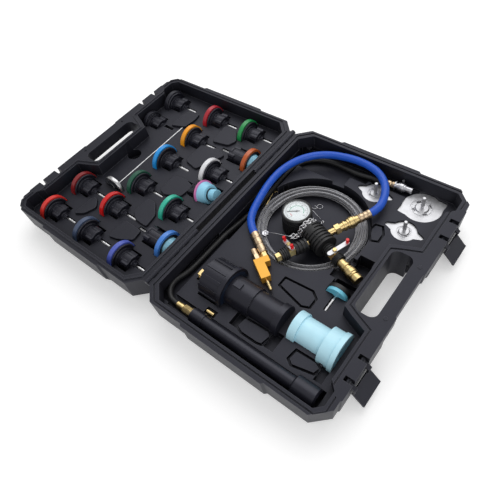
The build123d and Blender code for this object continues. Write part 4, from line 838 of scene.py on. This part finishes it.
# %% [markdown]
# Each valve lever is held by a small nut, which turns with it. The finned rubber sleeve over the
# venturi has a flat patch between its fins and a seam where the halves of the mould met.

# %% Nuts on the levers
right_lever_reach, left_lever_reach = 0.05, 0.06
left_valve_angle = 243.6
left_lean = 0.35
nut_height = 0.01755
nut_profile = [(0, 0.0031), (0, 0.0044), (0.0024, 0.0044), (0.003, 0.0039), (0.003, 0)]
right_hub = filler_centre + filler_way * right_lever_reach
left_hub = filler_centre + level_way(left_valve_angle) * left_lever_reach
left_axis = (upward - filler_way * left_lean).normalized()


def lever_nut(name, lever, hub, axis):
    """A hexagon nut on a lever's middle."""
    lathe(name, hub + axis * nut_height, axis, nut_profile, brass, lever, around=6, corner=20)


lever_nut("nut_right", "lever_right", right_hub, upward)
lever_nut("nut_left", "lever_left", left_hub, left_axis)

# %% Patch and seam of the sleeve
sleeve_radius = 0.0218


def sleeve_strip(name, low, high, first, last, outer, pieces):
    """A thick strip that follows the sleeve's round between two angles."""
    mesh = bmesh.new()
    rings = []
    for k in range(pieces + 1):
        angle = math.radians(first + (last - first) * k / pieces)
        out = upward * math.cos(angle) + filler_side * math.sin(angle)
        corners = ((low, sleeve_radius), (low, outer), (high, outer), (high, sleeve_radius))
        rings.append([mesh.verts.new(filler_centre + filler_way * s + out * r) for s, r in corners])
    skin(mesh, rings)
    return piece_from(mesh, name, black_rubber)


sleeve_strip("sleeve_patch", low=-0.0205, high=-0.0045, first=-42, last=-4, outer=0.0243, pieces=12)
sleeve_strip("sleeve_seam", low=-0.0235, high=0.0255, first=-24.5, last=-21.5, outer=0.0241, pieces=2)

# %% [markdown]
# Two stiff thin wires tie the chain on. One runs from the chain's near end to the clamp on the coil.
# The other drops to the floor of the well, where its open hook and a split ring lie. A second ring
# sits at the clamp. Bent wire is a curve with a small bevel: a few control points, pulled smooth.

# %% Wires, hook and rings
thin_wire = 0.00045
hook_wire = 0.0006
ring_points = 8
ring_rise = 0.001


def bent_wire(name, points, radius):
    """A stiff wire, bent through its points."""
    piece = round_line(name, points, radius, order=4, steps=8, around=3)
    piece.data.materials.append(bright_steel)
    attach(piece, "base")


def split_ring(name, centre, radius):
    """A ring of two turns of wire that rises a little."""
    points = []
    for k in range(2 * ring_points + 1):
        angle = 2 * math.pi * k / ring_points
        rise = ring_rise * k / (2 * ring_points)
        points.append(Vector(centre) + Vector((radius * math.cos(angle), radius * math.sin(angle), rise)))
    bent_wire(name, points, thin_wire)


near_wire_route = (
    (-0.0535, 0.0135, 0.0402), (-0.0565, 0.0105, 0.0412), (-0.065, 0.006, 0.0435), (-0.077, 0.002, 0.0438),
    (-0.09, 0.0, 0.041), (-0.0985, -0.0025, 0.0376), (-0.1015, -0.004, 0.0368),
)
far_wire_route = (
    (-0.0275, 0.0904, 0.0232), (-0.031, 0.0935, 0.019), (-0.0375, 0.0975, 0.0158), (-0.046, 0.101, 0.0148),
    (-0.054, 0.105, 0.0148), (-0.064, 0.109, 0.0146), (-0.068, 0.1105, 0.0146),
)
hook_route = (
    (-0.0672, 0.1082, 0.0148), (-0.0705, 0.1075, 0.0148), (-0.0735, 0.1105, 0.0148), (-0.0715, 0.114, 0.0148),
    (-0.0665, 0.1145, 0.0148), (-0.0615, 0.1165, 0.0148), (-0.0605, 0.121, 0.0148), (-0.0645, 0.1235, 0.0148),
    (-0.068, 0.1215, 0.0148),
)
bent_wire("near_wire", near_wire_route, thin_wire)
bent_wire("far_wire", far_wire_route, thin_wire)
bent_wire("open_hook", hook_route, hook_wire)
split_ring("far_ring", (-0.0575, 0.1255, 0.0147), radius=0.0065)
split_ring("near_ring", (-0.1012, -0.0045, 0.0369), radius=0.0042)

# %% [markdown]
# The dial thermometer stands on edge in its seat, so the camera sees its face from above: a bright
# rolled rim round a dark dial. The dial's dark colour is painted shade and a painted dark reflection
# in its glass. The rim is turned on the lathe, the dial gets its own ticks.

# %% Thermometer head
head_start = Vector((-0.467, -0.091, 0.042))
head_radius = 0.028
head_thick = 0.009
face_sunk = 0.0016
face_margin = 0.0002
neck_radius = 0.008
neck_end = 0.016
head_profile = [
    (face_sunk, 0), (face_sunk, 0.0252), (0.0004, 0.0262), (0, 0.0268), (0.0004, 0.0276),
    (0.0012, head_radius), (0.0078, head_radius), (0.0088, 0.0274), (head_thick, 0.0266),
    (head_thick, neck_radius), (0.0154, neck_radius), (neck_end, 0.0074), (neck_end, 0),
]
thermometer_head = lathe("thermometer_head", head_start, (0, 1, 0), head_profile, steel, "lid", around=64)
# The dark dial colour is painted shade and a painted dark reflection.
painted_shade_dial = finish("painted_shade_dial", (0.02, 0.022, 0.03), shine=0.3, blotch=0.05, edge=0.0, coat=0.5)
thermometer_head.data.materials.append(painted_shade_dial)
for face in thermometer_head.data.polygons:
    if abs(face.center.y - head_start.y - face_sunk) < face_margin:
        face.material_index = 1
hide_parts("thermometer_dial")

# %% Thermometer scale
scale_ink = finish("scale_ink", (0.75, 0.76, 0.78), shine=0.5, blotch=0.02, edge=0.0)
ink_thick = 0.0002
face_y = head_start.y + face_sunk - ink_thick
mark_count = 40
mark_circle = 0.0235
long_mark, short_mark = (0.0045, 0.012), (0.0025, 0.007)
scale_from, scale_sweep = 225, 270
hand_angle = 2.4
scale = bmesh.new()


def face_shape(middle_angle, corners):
    """A flat shape on the dial: each corner is a radius and an angle from the middle one."""
    places = []
    for r, turn in corners:
        angle = middle_angle + turn
        places.append((head_start.x + r * math.cos(angle), face_y, head_start.z + r * math.sin(angle)))
    scale.faces.new([scale.verts.new(place) for place in places])


for k in range(mark_count + 1):
    reach, half = short_mark if k % long_every else long_mark
    inner = mark_circle - reach
    face_shape(math.radians(scale_from - scale_sweep * k / mark_count),
               ((mark_circle, -half), (mark_circle, half), (inner, half), (inner, -half)))
face_shape(hand_angle, ((0.019, 0.0), (0.0012, 1.5), (0.004, 3.14), (0.0012, -1.5)))
piece_from(scale, "thermometer_scale", scale_ink, "lid")

# %% [markdown]
# Each adapter's knob is a round moulding with four grips at its outer end, windows between them, a
# raised ring and a stepped neck. A mesh of rings does this well: the radius of each point depends on
# its angle and on its distance along the knob. A thin black plate with a rim covers the band's back.

# %% Knob radius by angle and distance
half_step = 0.0003
foot_collar, foot_radius = 0.0026, 0.0225
body_radius = 0.0192
window_start, window_end, window_radius = 0.0061, 0.006, 0.0176
window_from = 24
grip_length, grip_radius, grip_side_radius = 0.0175, 0.0228, 0.0205
grip_half, grip_side_half = 8.5, 11
end_chamfer = 0.0009


def knob_radius(degrees, at, end):
    """A round body with four grips near its end, and shallow windows between them."""
    from_grip = abs(degrees % 90 - 45)
    radius = body_radius
    if at > end - grip_length and from_grip < grip_half:
        radius = grip_radius
    elif at > end - grip_length and from_grip < grip_side_half:
        radius = grip_side_radius
    elif window_start < at < end - window_end and from_grip > window_from:
        radius = window_radius
    if at < foot_collar:
        radius = foot_radius
    if at > end - end_chamfer / 2:
        radius -= end_chamfer
    return radius


for degrees, part in ((0, "in a window"), (45, "on a grip")):
    print("knob radius", part, knob_radius(degrees, at=0.02, end=0.03))

# %% Profiles of an adapter
back_steps = ((0.0002, 0.0022), (-0.0003, 0.0026), (-0.0004, 0.0032), (-0.0004, 0.0062), (-0.0001, 0.0068))
flange_steps = ((0, 0.0007), (0.0007, 0), (0.0022, 0), (0.0026, 0.0007), (0.0034, 0.0007), (0.004, 0.0014))
face_steps = ((0.004, 0.0275), (0.0034, 0.0262), (0.0034, 0.0232), (0.004, 0.0225))
hose_end_steps = (
    (0, 0.0165), (-0.0012, 0.0158), (-0.0012, 0.0105), (0, 0.0098), (0.0006, 0.008), (0.003, 0.008),
    (0.0033, 0.0074), (0.0047, 0.0074), (0.005, 0.008), (0.0074, 0.008), (0.008, 0.0072), (0.008, 0.002),
)
flange_thick = 0.004
first_ring = 0.0002
hidden_radius = 0.018
band_over, band_chamfer, band_rim = 0.003, 0.0008, 0.001


def knob_steps(knob):
    """Where along a knob its radius changes: two rings close together make each step."""
    changes = (foot_collar, window_start, knob - grip_length, knob - window_end)
    pairs = [place + side for place in changes for side in (-half_step, half_step)]
    return [first_ring, *pairs, knob - end_chamfer, knob]


print("rings along a knob:", len(knob_steps(0.03)))

# %% One adapter
knob_degrees = range(0, 360, 5)


def adapter(mesh, start, heading, flange, band, knob, black):
    """The black mouldings of one adapter: band or back plate, flange, knob and hose end."""
    way = Vector(heading).normalized()
    side = way.cross(upward).normalized()
    other = side.cross(way).normalized()

    def ring(at, radius_at):
        points = []
        for degrees in knob_degrees:
            arm = side * math.cos(math.radians(degrees)) + other * math.sin(math.radians(degrees))
            points.append(mesh.verts.new(Vector(start) + way * at + arm * radius_at(degrees)))
        return points

    def turned(steps):
        return [ring(at, lambda degrees: radius) for at, radius in steps]

    if black:
        wide = flange + band_over
        rings = turned([(0, flange - band_rim), (band_chamfer, wide)])
        rings += turned([(band - band_chamfer, wide), (band, wide - band_rim)])
    else:
        rings = turned([(band, hidden_radius)])
        skin(mesh, turned([(at, flange - inset) for at, inset in back_steps]))
    rings += turned([(band + at, flange - inset) for at, inset in flange_steps])
    rings += turned([(band + at, radius) for at, radius in face_steps])
    foot = band + flange_thick
    for at in knob_steps(knob):
        rings.append(ring(foot + at, lambda degrees: knob_radius(degrees, at, knob)))
    rings += turned([(foot + knob + at, radius) for at, radius in hose_end_steps])
    skin(mesh, rings)


print("points round a knob:", len(knob_degrees))

# %% Seventeen adapters
lid_width, lid_length, lid_edge = 0.4, 0.525, -0.2
seat_height, usual_radius = 0.0375, 0.034
band_thick, flange_inset = 0.010, 0.003


def lid_place(u, v, radius):
    """A place in the lid by its shares of the lid's width and length."""
    return (lid_edge + u * lid_width, v * lid_length, seat_height + radius - usual_radius)


adapter_places = (
    (-0.9, 0.394, 1, 0.034, 0.03, True), (-0.915, 0.242, 1, 0.029, 0.03, True),
    (-0.5725, 0.4, 1, 0.034, 0.03, False), (-0.3025, 0.402, 1, 0.034, 0.03, False),
    (-0.5725, 0.244, 1, 0.034, 0.03, False), (-0.1075, 0.259, -1, 0.034, 0.044, False),
    (-0.585, 0.075, 1, 0.036, 0.03, False), (-0.2865, 0.123, 1, 0.034, 0.03, False),
    (-0.5775, -0.095, 1, 0.034, 0.03, False), (-0.2875, -0.125, 1, 0.034, 0.03, False),
    (-0.8575, -0.233, 1, 0.034, 0.03, False), (-0.5875, -0.246, 1, 0.034, 0.03, False),
    (-0.865, -0.399, 1, 0.034, 0.03, False), (-0.5775, -0.399, 1, 0.034, 0.03, False),
    (-0.295, -0.403, 1, 0.034, 0.03, False), (-0.1075, -0.267, -1, 0.034, 0.044, False),
)
knob_mesh = bmesh.new()
for u, v, way, radius, knob, black in adapter_places:
    adapter(knob_mesh, lid_place(u, v, radius), (way, 0, 0), radius - flange_inset, band_thick, knob, black)
leaning_place, leaning_way = (-0.276, 0.0084, 0.040), (-0.95, -0.06, -0.3)
adapter(knob_mesh, leaning_place, leaning_way, flange=0.026, band=0.004, knob=0.024, black=False)
adapter_knobs = piece_from(knob_mesh, "adapter_knobs", black_plastic, "lid", corner=32)
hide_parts("adapter_bodies")

# %% [markdown]
# The moulded lid isn't flat between the adapters: low islands rise from its floor and stiffen it.
# Each is an outline with rounded corners, drawn up a little and softened at its top edge.

# %% Outlines of the islands
lid_islands = (
    ((-0.3661, 0.1395), (-0.3743, 0.1973), (-0.3387, 0.2007), (-0.3149, 0.1691), (-0.324, 0.1478)),
    ((-0.3776, 0.0573), (-0.3817, 0.1182), (-0.3319, 0.1273), (-0.3084, 0.1177), (-0.3399, 0.0493)),
    ((-0.3675, -0.0406), (-0.3698, 0.0089), (-0.3346, 0.0156), (-0.3079, 0.0066), (-0.311, -0.0304),
     (-0.3487, -0.0468)),
    ((-0.4968, 0.1321), (-0.4948, 0.1912), (-0.459, 0.2021), (-0.4547, 0.1778), (-0.4593, 0.1447)),
    ((-0.3704, -0.1954), (-0.3696, -0.1439), (-0.3181, -0.1451), (-0.314, -0.1727), (-0.3451, -0.1901)),
    ((-0.3728, -0.1166), (-0.3696, -0.0725), (-0.3483, -0.0714), (-0.3212, -0.0988), (-0.3168, -0.1331),
     (-0.351, -0.132)),
    ((-0.4845, -0.1959), (-0.4845, -0.1376), (-0.4712, -0.1356), (-0.4524, -0.1546), (-0.4631, -0.1824)),
)
print("islands:", len(lid_islands))

# %% Islands in the lid
floor_height = 0.0418
corner_radius, corner_steps = 0.007, 5
island_steps = ((0, 0), (0.0044, 0.0008), (0.0052, 0.0013), (0.0055, 0.0022))


def rounded_outline(corners):
    """The outline with each corner cut by a smooth curve."""
    points = []
    count = len(corners)
    for k in range(count):
        before, here, after = (Vector(corners[(k + d) % count]) for d in (-1, 0, 1))
        one = here + (before - here).normalized() * corner_radius
        two = here + (after - here).normalized() * corner_radius
        for step in range(corner_steps + 1):
            t = step / corner_steps
            points.append(one * (1 - t) ** 2 + here * 2 * t * (1 - t) + two * t ** 2)
    return points


def island(corners, number):
    """A low plateau with a softened top edge."""
    outline = rounded_outline(corners)
    middle = sum(outline, Vector((0, 0))) / len(outline)
    mesh = bmesh.new()
    rings = []
    for height, inset in island_steps:
        places = [point + (middle - point).normalized() * inset for point in outline]
        rings.append([mesh.verts.new((place.x, place.y, floor_height + height)) for place in places])
    skin(mesh, rings, ends=False)
    mesh.faces.new(rings[-1])
    piece_from(mesh, f"lid_island_{number}", case_plastic, "lid")


for number, corners in enumerate(lid_islands):
    island(corners, number)

# %% [markdown]
# The floor is plain paper. A real studio floor is lit until it turns white. Here the lamps stay low,
# so that pale pieces keep their colour, and the paper glows a little to the camera and in mirrors
# instead. It still takes the case's shadow. Far from the case it glows more, so that no horizon shows.

# %% Paper floor
floor_size, floor_drop = 8, 0.0006
near_glow, far_glow = 0.3, 1.0
near_distance, far_distance = 0.7, 2.2
bpy.ops.mesh.primitive_plane_add(size=floor_size, location=(0, 0, -floor_drop))
floor = bpy.context.object
floor.name = "floor"


def seen_directly(tree):
    """One where the camera, a mirror or glass looks, nothing where light only bounces."""
    path = tree.nodes.new("ShaderNodeLightPath")
    total = path.outputs["Is Camera Ray"]
    for kind in ("Is Glossy Ray", "Is Transmission Ray"):
        step = tree.nodes.new("ShaderNodeMath")
        step.operation = "MAXIMUM"
        tree.links.new(total, step.inputs[0])
        tree.links.new(path.outputs[kind], step.inputs[1])
        total = step.outputs[0]
    return total


paper = bpy.data.materials.new("paper")
paper.use_nodes = True
tree = paper.node_tree
sheet = tree.nodes["Principled BSDF"]
sheet.inputs["Base Color"].default_value = (0.88, 0.88, 0.88, 1)
sheet.inputs["Roughness"].default_value = 0.9
sheet.inputs["Specular IOR Level"].default_value = 0.1
sheet.inputs["Emission Color"].default_value = (1, 1, 1, 1)
spot = tree.nodes.new("ShaderNodeNewGeometry")
distance = tree.nodes.new("ShaderNodeVectorMath")
distance.operation = "LENGTH"
tree.links.new(spot.outputs["Position"], distance.inputs[0])
growing = stretch(tree, distance.outputs["Value"], near_glow, far_glow, near_distance, far_distance)
glow = tree.nodes.new("ShaderNodeMath")
glow.operation = "MULTIPLY"
tree.links.new(seen_directly(tree), glow.inputs[0])
tree.links.new(growing, glow.inputs[1])
tree.links.new(glow.outputs[0], sheet.inputs["Emission Strength"])
floor.data.materials.append(paper)
print("floor glow:", near_glow, "to", far_glow)

# %% [markdown]
# Big soft lamps make the long gentle highlights that moulded plastic shows: one wide lamp above and
# behind, a weaker one from the camera's side. The world fills the shadows.

# %% Lamps and world
def lamp(name, place, aim, size, power):
    """A square soft lamp that looks at a point."""
    light = bpy.data.lights.new(name, "AREA")
    light.shape = "SQUARE"
    light.size = size
    light.energy = power
    holder = bpy.data.objects.new(name, light)
    holder.location = place
    holder.rotation_euler = (Vector(aim) - Vector(place)).to_track_quat("-Z", "Y").to_euler()
    scene.collection.objects.link(holder)


lamp("key", place=(-0.6, 1.2, 1.9), aim=(-0.1, 0, 0), size=2.4, power=28)
lamp("fill", place=(1.4, -1.3, 1.6), aim=(-0.1, 0, 0), size=1.8, power=14)
world_light, world_seen = 0.55, 1.0
world = bpy.data.worlds.new("studio")
scene.world = world
world.use_nodes = True
tree = world.node_tree
sky = tree.nodes["Background"]
sky.inputs["Color"].default_value = (1, 1, 1, 1)
path = tree.nodes.new("ShaderNodeLightPath")
tree.links.new(stretch(tree, path.outputs["Is Camera Ray"], world_light, world_seen), sky.inputs["Strength"])
scene.view_settings.view_transform = "Standard"

# %% [markdown]
# Last, the scene is brought up to date. The dressed kit has to be as large as its CAD
# model.

# %% Bring the scene up to date
bpy.context.view_layer.update()
